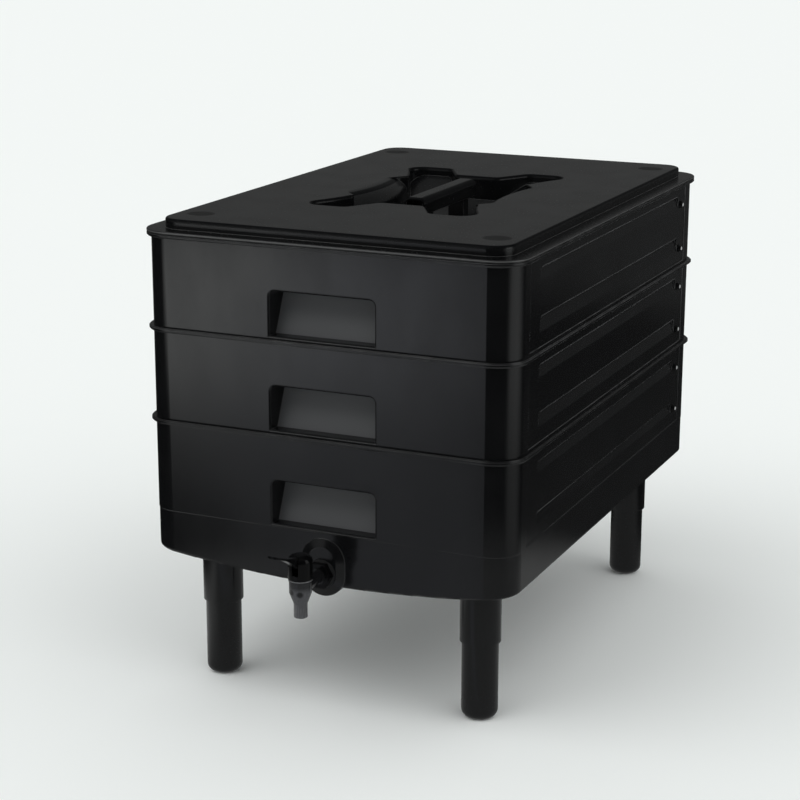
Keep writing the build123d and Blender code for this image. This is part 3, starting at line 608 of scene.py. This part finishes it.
@dataclass(frozen=True)
class SmokedPlastic:
    """Smoky plastic of the spout, with painted shade on its shoulder and tail, and two dark spots.

    The shoulder's painted shade lies between two heights, under the top ring, which carries a
    painted highlight, and the tail's behind a place along Y. The spout pales in streaks towards its
    lip.
    """

    name: str
    colour: Colour = (0.075, 0.076, 0.082)
    # Colour of the painted shade on shoulder and tail, and of the two dark spots.
    shade_and_spot_colour: Colour = (0.005, 0.005, 0.0055)
    # Pale streaks at the lip, and the painted highlight on the top ring.
    rim: Colour = (0.16, 0.16, 0.165)
    roughness: float = 0.10
    haze: Patches = Patches(5 * MM, 3.0, 0.3, 0.7)
    hazed: float = 0.1
    shoulder: Span = (149 * MM, 156.2 * MM)
    shoulder_below: float = 4 * MM
    shoulder_within: float = 2 * MM
    shoulder_end: float = 0.4 * MM
    shoulder_dark: float = 0.85
    collar_end: float = 0.5 * MM
    tail: float = -274.0 * MM
    tail_end: float = 1.5 * MM
    deep: float = 0.95
    dark_spots: tuple[Point, ...] = (
        (-5.0 * MM, -295.5 * MM, 145.3 * MM),
        (4.4 * MM, -295.7 * MM, 144 * MM),
    )
    drop_size: float = 4.6 * MM
    spot_core: float = 0.4
    lip: Span = (126 * MM, 133 * MM)
    lip_level: float = 0.25
    streak: float = 1.1 * MM
    streak_scale: Point = (1.0, 1.0, 0.08)
    streak_span: Span = (0.45, 0.7)
    streak_level: float = 0.55
    streak_depth: float = 0.05 * MM
    clearness: float = 0.25
    dimness: float = 0.05
    dim_span: Span = (0.3, 0.95)
    index: float = 1.49

    def darkness(self, sheet: ShaderSheet, height: NodeSocket) -> NodeSocket:
        """Finds the painted shade on the shoulder and the tail, and the two dark spots.

        Args:
            sheet: the sheet of the finish.
            height: the height in metres.

        Returns:
            How dark the plastic looks, from 0 to 1.
        """
        low, high = self.shoulder
        foot = (low - self.shoulder_below, low + self.shoulder_within)
        head = (high - self.shoulder_end, high + self.shoulder_end)
        # Painted shade on the shoulder, under the top ring.
        dark = sheet.times(
            sheet.spread(height, *foot, 0.0, self.shoulder_dark),
            sheet.spread(height, *head, 1.0, 0.0),
        )
        for dark_spot in self.dark_spots:
            away = sheet.node(
                "ShaderNodeVectorMath", {0: sheet.place(), 1: dark_spot}, operation="DISTANCE"
            )
            near = (self.drop_size * self.spot_core, self.drop_size)
            dark = sheet.most(dark, sheet.spread(away.outputs["Value"], *near, self.deep, 0.0))
        # Painted shade on the tail, between the barrel and the nut.
        behind = (self.tail - self.tail_end, self.tail)
        return sheet.most(dark, sheet.spread(sheet.split()[1], *behind, 0.0, self.deep))

    def material(self) -> Material:
        """Builds the finish.

        Returns:
            A material that some light passes, with painted shade on its shoulder and tail, two dark
            spots and a painted highlight on its top ring.
        """
        material, sheet = new_sheet(self.name)
        height = sheet.split()[2]
        dark = self.darkness(sheet, height)
        streaks = sheet.noise(self.streak, 1.0, sheet.stretched(self.streak_scale))
        pale = sheet.times(
            sheet.spread(height, *self.lip, 1.0, self.lip_level),
            sheet.spread(streaks, *self.streak_span, 0.0, self.streak_level),
        )
        colour = sheet.blend(pale, self.colour, self.rim)
        # Painted highlight: the top ring above the shoulder is paler.
        top = self.shoulder[1]
        collar = sheet.spread(height, top, top + self.collar_end, 0.0, 1.0)
        colour = sheet.blend(collar, colour, self.rim)
        # The painted shade and the dark spots darken the colour.
        colour = sheet.blend(dark, colour, self.shade_and_spot_colour)
        clear = sheet.spread(dark, *self.dim_span, self.clearness, self.dimness)
        sheet.surface(
            "ShaderNodeBsdfPrincipled",
            {
                "Base Color": colour,
                "Roughness": sheet.patchy(self.haze, self.roughness, self.roughness + self.hazed),
                "Normal": sheet.relief(streaks, self.streak_depth),
                "IOR": self.index,
                "Transmission Weight": clear,
            },
        )
        return material


@dataclass(frozen=True)
class SoftRubber:
    """Matt black rubber of the washers and the valve's seal."""

    name: str
    colour: Colour = (0.011, 0.011, 0.0115)
    bloom: Colour = (0.028, 0.028, 0.029)
    dust: Patches = Patches(4 * MM, 4.0, 0.42, 0.72)
    dusted: float = 0.8
    roughness: float = 0.62
    dust_rough: float = 0.2
    pore: float = 0.6 * MM
    pore_depth: float = 0.02 * MM
    index: float = 1.52

    def material(self) -> Material:
        """Builds the finish.

        Returns:
            A material with a dusty bloom and fine pores.
        """
        material, sheet = new_sheet(self.name)
        dust = sheet.patchy(self.dust, 0.0, self.dusted)
        rough = sheet.spread(dust, 0.0, 1.0, self.roughness, self.roughness + self.dust_rough)
        sheet.surface(
            "ShaderNodeBsdfPrincipled",
            {
                "Base Color": sheet.blend(dust, self.colour, self.bloom),
                "Roughness": rough,
                "Normal": sheet.relief(sheet.noise(self.pore), self.pore_depth),
                "IOR": self.index,
            },
        )
        return material


@dataclass(frozen=True)
class DrawnSteel:
    """Stainless wire of the spring and the lever's pin."""

    name: str
    colour: Colour = (0.55, 0.55, 0.56)
    dulled: Colour = (0.36, 0.35, 0.34)
    stains: Patches = Patches(3 * MM, 3.0, 0.4, 0.7)
    roughness: float = 0.26
    draw_mark: float = 0.5 * MM
    draw_scale: Point = (1.0, 1.0, 8.0)
    draw_span: Span = (0.3, 0.7)
    draw_rough: float = 0.16
    draw_depth: float = 0.01 * MM

    def material(self) -> Material:
        """Builds the finish.

        Returns:
            A metal with draw marks and dull patches.
        """
        material, sheet = new_sheet(self.name)
        colour = sheet.blend(sheet.patchy(self.stains, 0.0, 1.0), self.colour, self.dulled)
        lines = sheet.noise(self.draw_mark, where=sheet.stretched(self.draw_scale))
        levels = (self.roughness, self.roughness + self.draw_rough)
        sheet.surface(
            "ShaderNodeBsdfPrincipled",
            {
                "Base Color": colour,
                "Roughness": sheet.spread(lines, *self.draw_span, *levels),
                "Metallic": 1.0,
                "Normal": sheet.relief(lines, self.draw_depth),
            },
        )
        return material


@dataclass(frozen=True)
class Screen:
    """A curved cloth that stands round the bin; its ends are degrees round from the back."""

    name: str
    start: float
    end: float
    level: float
    radius: float = 3.0
    low: float = 0.0
    high: float = 3.4
    foot: float = 0.012


@dataclass(frozen=True)
class Sector:
    """A part of the mat that opens and closes over degrees round the mat's corner."""

    opens: Span
    closes: Span

    def share(self, sheet: ShaderSheet, turn: NodeSocket) -> NodeSocket:
        """Returns a value that is 1 inside the sector."""
        inside = sheet.spread(turn, *self.opens, 0.0, 1.0)
        return sheet.times(inside, sheet.spread(turn, *self.closes, 1.0, 0.0))


@dataclass(frozen=True)
class Lamp:
    """A wide soft lamp, by degrees round from the front and degrees up."""

    name: str
    turn: float
    height: float
    power: float
    width: float = 50.0

    def shine(self) -> Vector:
        """Finds where the lamp hangs.

        Returns:
            The way to the lamp.
        """
        turn, height = math.radians(self.turn), math.radians(self.height)
        flat = math.cos(height)
        return Vector((math.sin(turn) * flat, -math.cos(turn) * flat, math.sin(height)))


@dataclass
class Studio:
    """Pale floor, soft lamps and the camera.

    The mat, screens and canopy are cards that only gloss picks up. The mat is dark, with a pale
    wedge at the front, a patch near the bin, one behind it, and a strip and a side part on the
    right.
    """

    paper: Colour = (0.920, 0.939, 0.930)
    room: Colour = (0.74, 0.755, 0.75)
    floor_half: float = 60.0
    camera_place: Point = (0.83334, -1.91211, 0.82604)
    camera_right: Point = (0.91218827, 0.40976656, 0.00198114)
    camera_up: Point = (-0.10846119, 0.23677932, 0.96549041)
    camera_ahead: Point = (-0.39515659, 0.8809239, -0.26043108)
    lens: float = 91.3
    sensor: float = 36.0
    clip: Span = (0.05, 500.0)
    mat_half: float = 3.2
    mat_lift: float = 0.6 * MM
    mat_corner: Span = (0.165, -0.24)
    mat_dark: float = 0.012
    mat_blue: Colour = (0.905, 0.935, 1.0)
    blue_span: Span = (0.25, 0.5)
    wedge: Sector = Sector((-161.5, -158.0), (-138.0, -124.0))
    wedge_level: float = 0.335
    wedge_gain: float = 0.35
    wedge_ahead: Span = (1.05, 1.75)
    wedge_rise: float = 1.75
    wedge_aside: Span = (0.75, 1.6)
    near_level: float = 0.26
    near_left: float = 0.62
    near_reach: Span = (0.5, 0.68)
    near_across: Span = (-0.32, -0.12)
    strip: Sector = Sector((35.0, 80.0), (100.0, 124.0))
    strip_near: float = 0.25
    strip_far: float = 0.56
    strip_reach: Span = (0.8, 1.6)
    side: Sector = Sector((0.0, 8.0), (36.0, 60.0))
    side_near: float = 0.02
    side_across: Span = (0.3, 0.85)
    side_far: float = 0.045
    side_back: Span = (-1.95, -1.5)
    behind: Sector = Sector((-60.0, -45.0), (-14.0, -4.0))
    behind_level: float = 0.45
    behind_back: Span = (0.5, 0.9)
    screens: tuple[Screen, ...] = (
        Screen("back_screen", -62.0, 72.0, 0.115, foot=0.06),
        Screen("right_screen", 106.0, 198.0, 0.02),
        Screen("left_screen", -132.0, -62.0, 0.10),
        Screen("front_screen", -162.0, -132.0, 0.30, high=2.5),
        Screen("soft_box", -178.0, -120.0, 3.0, radius=2.5, low=2.45, high=3.3),
    )
    screen_sides: int = 180
    screen_shade: Span = (0.2, 0.9)
    canopy_height: float = 3.4
    canopy_level: float = 0.124
    canopy_half: float = 3.6
    canopy_front: float = 2.6
    lamps: tuple[Lamp, ...] = (
        Lamp("key_lamp", -40.0, 52.0, 0.62),
        Lamp("fill_lamp", 75.0, 48.0, 0.34),
    )

    def build(self) -> None:
        """Sets the floor, world, cards, lamps and camera."""
        self.lay_floor()
        self.light_room()
        self.lay_mat()
        for screen in self.screens:
            self.stand_screen(screen)
        self.hang_canopy()
        for lamp in self.lamps:
            self.hang_lamp(lamp)
        self.set_camera()

    def add_sheet(self, name: str, half: float, height: float) -> Object:
        """Adds a flat square sheet.

        Args:
            name: the sheet's name.
            half: half the length of its side.
            height: how high it lies.

        Returns:
            The sheet.
        """
        bpy.ops.object.select_all(action="DESELECT")
        bpy.ops.mesh.primitive_plane_add(size=2 * half, location=(0.0, 0.0, height))
        made = bpy.context.active_object
        made.name = name
        return made

    def lay_floor(self) -> Object:
        """Lays the paper floor.

        Returns:
            The floor.
        """
        floor = self.add_sheet("paper_floor", self.floor_half, 0.0)
        material, sheet = new_sheet("floor_paper")
        sheet.surface("ShaderNodeBsdfDiffuse", {"Color": self.paper})
        dress(floor, material)
        return floor

    def light_room(self) -> None:
        """Gives the room its pale backdrop, which gloss and clear plastic show as well."""
        world = bpy.data.worlds.new("studio_room")
        bpy.context.scene.world = world
        world.use_nodes = True
        sheet = ShaderSheet(world.node_tree)
        path = sheet.node("ShaderNodeLightPath").outputs
        paper = sheet.node("ShaderNodeBackground", {"Color": self.paper, "Strength": 1.0})
        room = sheet.node("ShaderNodeBackground", {"Color": self.room, "Strength": 1.0})
        seen = sheet.most(path["Is Camera Ray"], path["Is Transmission Ray"])
        seen = sheet.most(seen, path["Is Glossy Ray"])
        shown = sheet.node(
            "ShaderNodeMixShader", {0: seen, 1: room.outputs[0], 2: paper.outputs[0]}
        )
        sheet.node("ShaderNodeOutputWorld", {"Surface": shown.outputs[0]})

    def hide_card(self, card: Object, material: Material) -> None:
        """Dresses a card that only gloss picks up: it throws no shadow and no light.

        Args:
            card: the card.
            material: its glowing cloth.
        """
        dress(card, material)
        card.visible_camera = False
        card.visible_diffuse = False
        card.visible_transmission = False
        card.visible_shadow = False

    def wedge_level_at(
        self, sheet: ShaderSheet, south: NodeSocket, left: NodeSocket
    ) -> NodeSocket:
        """Makes the wedge paler ahead of the bin and towards the left.

        Args:
            sheet: the sheet of the mat.
            south: metres ahead of the bin's origin.
            left: metres to the left of the wedge's right edge.

        Returns:
            How pale the wedge is.
        """
        levels = (self.wedge_level, self.wedge_level + self.wedge_gain)
        ahead = sheet.spread(south, *self.wedge_ahead, *levels)
        rise = sheet.spread(south, *self.wedge_aside, 0.0, self.wedge_rise)
        return sheet.sum("ADD", ahead, sheet.times(sheet.most(left, 0.0), rise))

    def lay_mat(self) -> None:
        """Lays the mat with its pale parts."""
        mat = self.add_sheet("studio_mat", self.mat_half, self.mat_lift)
        material, sheet = new_sheet("mat_cloth")
        east, north, _ = sheet.split()
        south = sheet.times(north, -1.0)
        aside = sheet.sum("SUBTRACT", east, self.mat_corner[0])
        ahead = sheet.sum("SUBTRACT", north, self.mat_corner[1])
        turn = sheet.sum("DEGREES", sheet.sum("ARCTAN2", aside, ahead))
        squares = sheet.sum("ADD", sheet.sum("POWER", aside, 2.0), sheet.sum("POWER", ahead, 2.0))
        away = sheet.sum("SQRT", squares)
        inwards = sheet.sum("RADIANS", sheet.sum("SUBTRACT", turn, self.wedge.opens[1]))
        left = sheet.times(away, sheet.sum("SINE", inwards))
        wedge = self.wedge.share(sheet, turn)
        near = sheet.times(
            sheet.spread(away, *self.near_reach, 1.0, 0.0),
            sheet.spread(east, *self.near_across, self.near_left, self.near_level),
        )
        strip = sheet.spread(away, *self.strip_reach, self.strip_near, self.strip_far)
        side = sheet.sum(
            "ADD",
            sheet.spread(east, *self.side_across, self.side_near, 0.0),
            sheet.spread(south, *self.side_back, self.side_far, 0.0),
        )
        behind = sheet.spread(north, *self.behind_back, 0.0, self.behind_level)
        pale = sheet.times(wedge, self.wedge_level_at(sheet, south, left))
        for part in (
            near,
            sheet.times(behind, self.behind.share(sheet, turn)),
            sheet.times(self.strip.share(sheet, turn), strip),
            sheet.times(self.side.share(sheet, turn), side),
        ):
            pale = sheet.most(pale, part)
        level = sheet.sum("ADD", pale, self.mat_dark)
        blue = sheet.times(wedge, sheet.spread(left, *self.blue_span, 1.0, 0.0))
        tint = sheet.blend(blue, self.paper, self.mat_blue)
        sheet.surface("ShaderNodeEmission", {"Color": tint, "Strength": level})
        self.hide_card(mat, material)

    def stand_screen(self, screen: Screen) -> None:
        """Stands a curved cloth, darker towards its foot.

        Args:
            screen: its place, size and level.
        """
        bpy.ops.object.select_all(action="DESELECT")
        bpy.ops.mesh.primitive_cylinder_add(
            vertices=self.screen_sides,
            radius=screen.radius,
            depth=screen.high - screen.low,
            end_fill_type="NOTHING",
            location=(0.0, 0.0, (screen.high + screen.low) / 2),
        )
        card = bpy.context.active_object
        card.name = f"studio_{screen.name}"
        bpy.ops.object.mode_set(mode="EDIT")
        mesh = bmesh.from_edit_mesh(card.data)
        for face in mesh.faces:
            middle = face.calc_center_median()
            turn = (math.degrees(math.atan2(middle.x, middle.y)) - screen.start) % 360.0
            face.select_set(turn > screen.end - screen.start)
        bmesh.update_edit_mesh(card.data)
        bpy.ops.mesh.delete(type="FACE")
        bpy.ops.object.mode_set(mode="OBJECT")
        bpy.ops.object.transform_apply(location=True, rotation=True, scale=True)
        material, sheet = new_sheet(f"{screen.name}_cloth")
        shade = sheet.spread(sheet.split()[2], *self.screen_shade, screen.foot, screen.level)
        sheet.surface("ShaderNodeEmission", {"Color": self.paper, "Strength": shade})
        self.hide_card(card, material)

    def hang_canopy(self) -> None:
        """Hangs a dark cloth overhead, open towards the front."""
        canopy = self.add_sheet("studio_canopy", self.canopy_half, self.canopy_height)
        bpy.ops.transform.translate(value=(0.0, self.canopy_half - self.canopy_front, 0.0))
        bpy.ops.object.transform_apply(location=True, rotation=True, scale=True)
        material, sheet = new_sheet("canopy_cloth")
        sheet.surface("ShaderNodeEmission", {"Color": self.paper, "Strength": self.canopy_level})
        self.hide_card(canopy, material)

    def hang_lamp(self, lamp: Lamp) -> None:
        """Hangs a lamp that gloss does not show.

        Args:
            lamp: its place, width and power.
        """
        light = bpy.data.lights.new(lamp.name, "SUN")
        light.energy = lamp.power
        light.angle = math.radians(lamp.width)
        holder = bpy.data.objects.new(lamp.name, light)
        bpy.context.scene.collection.objects.link(holder)
        holder.rotation_euler = lamp.shine().to_track_quat("Z", "Y").to_euler()
        holder.visible_glossy = False

    def set_camera(self) -> None:
        """Stands the camera and makes it the scene's own."""
        lens = bpy.data.cameras.new("studio_camera")
        lens.lens, lens.sensor_width = self.lens, self.sensor
        lens.clip_start, lens.clip_end = self.clip
        camera = bpy.data.objects.new("studio_camera", lens)
        bpy.context.scene.collection.objects.link(camera)
        axes = Matrix((self.camera_right, self.camera_up, [-part for part in self.camera_ahead]))
        camera.matrix_world = Matrix.Translation(self.camera_place) @ axes.transposed().to_4x4()
        bpy.context.scene.camera = camera


@dataclass(frozen=True)
class Level:
    """One level of the stack: heights in mm of its recess and grooves, and its paler edge colour,
    partly rubbing and partly painted highlight.
    """

    node: str
    recess_foot: float
    groove_tops: Span
    pale_edge_colour: Colour = (0.11, 0.11, 0.113)
    handled: float = 0.06

    def material(self) -> Material:
        """Builds the level's satin black."""
        return MouldedPlastic(
            f"satin_black_{self.node}",
            pale_edge_colour=self.pale_edge_colour,
            handled=self.handled,
            groove_tops=self.groove_tops,
            recess_foot=self.recess_foot * MM,
        ).material()


@dataclass
class Stack:
    """The lid, trays, base and legs: everything moulded in satin black."""

    levels: tuple[Level, ...] = (
        Level("base", 190.0, (265.0, 214.0), pale_edge_colour=(0.05, 0.05, 0.051)),
        Level("middle_tray", 285.5, (360.5, 313.5)),
        Level("upper_tray", 379.0, (454.0, 407.0)),
    )
    lid_marks: tuple[Span, ...] = (
        (-157 * MM, -185 * MM),
        (157 * MM, -185 * MM),
        (-157 * MM, 286 * MM),
        (157 * MM, 286 * MM),
    )
    top: tuple[str, ...] = ("lid", "lid_handle")
    legs: tuple[str, ...] = (
        "leg_front_left",
        "leg_front_right",
        "leg_back_left",
        "leg_back_right",
    )

    def build(self) -> None:
        """Dresses the stack's nodes."""
        finishes = [((level.node,), level.material()) for level in self.levels]
        finishes.append((self.top, self.lid_black()))
        leg = MouldedPlastic("leg_black", roughness=0.20, ripple_depth=0.03 * MM)
        finishes.append((self.legs, leg.material()))
        for names, material in finishes:
            for name in names:
                dress(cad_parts[name], material)

    def lid_black(self) -> Material:
        """Builds the lid's flatter black, with dull top edges, a painted highlight line on the rim
        that stands partly for rubbing, and worn marks.
        """
        return MouldedPlastic(
            "satin_black_lid",
            roughness=0.20,
            ripple_depth=0.006 * MM,
            edge=0.9 * MM,
            handled=0.04,
            pale_edge_colour=(0.14, 0.14, 0.14),
            crown=478.2 * MM,
            marks=self.lid_marks,
        ).material()


@dataclass
class GrooveStud:
    """Small glossy studs at the far end of the side grooves, with a painted glint on each tip,
    sized in mm.
    """

    heights: tuple[tuple[str, float], ...] = (
        ("upper_tray", 444.5),
        ("upper_tray", 394.5),
        ("middle_tray", 350.5),
        ("middle_tray", 301.0),
        ("base", 255.5),
        ("base", 207.0),
    )
    along: float = 230.0
    wall: float = 194.6
    sides: int = 24
    collar: float = 4.2
    collar_height: float = 0.3
    neck: float = 2.4
    neck_height: float = 2.6
    dome_height: float = 1.4
    dome_steps: int = 5
    dome_tip: float = 0.06
    upwards: float = 0.9
    smooth_below: float = 40.0

    def build(self) -> None:
        """Models one stud and sets a copy at each place."""
        # The pale grey on each stud's tip is a painted glint.
        finish = PolishedPlastic("stud_gloss", edge=0.2 * MM, painted_glint=(0.42, 0.42, 0.42)).material()
        first = self.model()
        for side in Side:
            for number, (body, height) in enumerate(self.heights, 1):
                stud = first.copy()
                stud.data = first.data.copy()
                stud.name = f"stud_{side.name.lower()}_{number}"
                bpy.context.scene.collection.objects.link(stud)
                turn = Matrix.Rotation(math.radians(90.0 * side.value), 4, "Y")
                spot = (side.value * self.wall * MM, self.along * MM + STACK_MIDDLE, height * MM)
                stud.data.transform(Matrix.Translation(spot) @ turn)
                dress(stud, finish)
                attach(stud, body)
        bpy.data.objects.remove(first)

    def model(self) -> Object:
        """Models a stud at the origin, standing up.

        Returns:
            A low collar with a dome on it.
        """
        bpy.ops.object.select_all(action="DESELECT")
        bpy.ops.mesh.primitive_cylinder_add(
            vertices=self.sides,
            radius=self.collar * MM,
            depth=self.collar_height * MM,
            location=(0.0, 0.0, self.collar_height / 2 * MM),
        )
        stud = bpy.context.active_object
        bpy.ops.object.transform_apply(location=True, rotation=True, scale=True)
        bpy.ops.object.mode_set(mode="EDIT")
        mesh = bmesh.from_edit_mesh(stud.data)
        for face in mesh.faces:
            face.select_set(face.normal.z > self.upwards)
        bmesh.update_edit_mesh(stud.data)
        self.draw_up(self.neck_height * MM, self.neck / self.collar)
        for step in range(self.dome_steps):
            start, end = (math.radians(90.0 * part / self.dome_steps) for part in (step, step + 1))
            rise = self.dome_height * MM * (math.sin(end) - math.sin(start))
            self.draw_up(rise, max(math.cos(end), self.dome_tip) / math.cos(start))
        bpy.ops.mesh.select_all(action="SELECT")
        bpy.ops.mesh.normals_make_consistent(inside=False)
        bpy.ops.object.mode_set(mode="OBJECT")
        bpy.ops.object.shade_smooth_by_angle(angle=math.radians(self.smooth_below))
        return stud

    def draw_up(self, rise: float, narrow: float) -> None:
        """Draws the selected face up by a rise in metres and narrows it by a share."""
        bpy.ops.mesh.extrude_region_move(TRANSFORM_OT_translate={"value": (0.0, 0.0, rise)})
        bpy.ops.transform.resize(value=(narrow, narrow, 1.0))


@dataclass
class ReturnSpring:
    """The coil under the tap's hood, sized in mm."""

    name: str = "return_spring"
    along: float = -285.75
    foot: float = 149.0
    top: float = 159.9
    coil: float = 4.2
    wire: float = 0.5
    wire_sides: int = 10
    turns: int = 4
    steps: int = 28
    smooth_below: float = 50.0

    def build(self, finish: Material) -> Object:
        """Winds the coil and sets it in place of the CAD spring.

        Args:
            finish: the steel of the wire.

        Returns:
            The coil.
        """
        bpy.ops.object.select_all(action="DESELECT")
        bpy.ops.mesh.primitive_circle_add(
            vertices=self.wire_sides,
            radius=self.wire * MM,
            location=(self.coil * MM, 0.0, 0.0),
            rotation=(math.radians(90.0), 0.0, 0.0),
        )
        spring = bpy.context.active_object
        spring.name = self.name
        bpy.ops.object.transform_apply(location=True, rotation=True, scale=True)
        winding = spring.modifiers.new("winding", "SCREW")
        winding.axis = "Z"
        winding.angle = math.tau
        winding.iterations = self.turns
        winding.screw_offset = (self.top - self.foot - 2 * self.wire) * MM / self.turns
        winding.steps = winding.render_steps = self.steps
        winding.use_merge_vertices = False
        bpy.ops.object.modifier_apply(modifier=winding.name)
        bpy.ops.object.mode_set(mode="EDIT")
        bpy.ops.mesh.select_all(action="DESELECT")
        bpy.ops.mesh.select_non_manifold()
        bpy.ops.mesh.fill_holes(sides=0)
        bpy.ops.mesh.select_all(action="SELECT")
        bpy.ops.mesh.normals_make_consistent(inside=False)
        bpy.ops.object.mode_set(mode="OBJECT")
        bpy.ops.object.shade_smooth_by_angle(angle=math.radians(self.smooth_below))
        spot = (0.0, self.along * MM, (self.foot + self.wire) * MM)
        spring.data.transform(Matrix.Translation(spot))
        dress(spring, finish)
        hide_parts("valve_spring")
        ends = [(0.0, self.along * MM, height * MM) for height in (self.foot, self.top)]
        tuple(ends[0])
        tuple(ends[1])
        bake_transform(spring)
        return spring


@dataclass
class DrainTap:
    """The press tap in the front of the base."""

    glossy: tuple[str, ...] = (
        "tap_front_nut",
        "tap_bonnet",
        "tap_lever",
        "tap_lock_nut",
        "valve_stem",
    )
    smoky: tuple[str, ...] = ("tap_body", "tap_nozzle")
    rubber: tuple[str, ...] = ("tap_washer_outer", "tap_washer_inner", "valve_seal")
    steel: tuple[str, ...] = ("lever_pin",)

    def build(self) -> None:
        """Dresses the tap's nodes and winds its spring."""
        steel = DrawnSteel("spring_steel").material()
        ReturnSpring().build(steel)
        for names, material in (
            (self.glossy, PolishedPlastic("tap_gloss").material()),
            (self.rubber, SoftRubber("washer_rubber").material()),
            (self.steel, steel),
            (self.smoky, SmokedPlastic("smoked_plastic").material()),
        ):
            for name in names:
                dress(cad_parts[name], material)


def main() -> None:
    """Builds the studio and the bin in order."""
    logging.basicConfig(level=logging.INFO, format="%(message)s")
    bpy.context.scene.view_settings.view_transform = "Standard"
    for part in (Studio(), Stack(), GrooveStud(), DrainTap()):
        part.build()


if __name__ == "__main__":
    main()
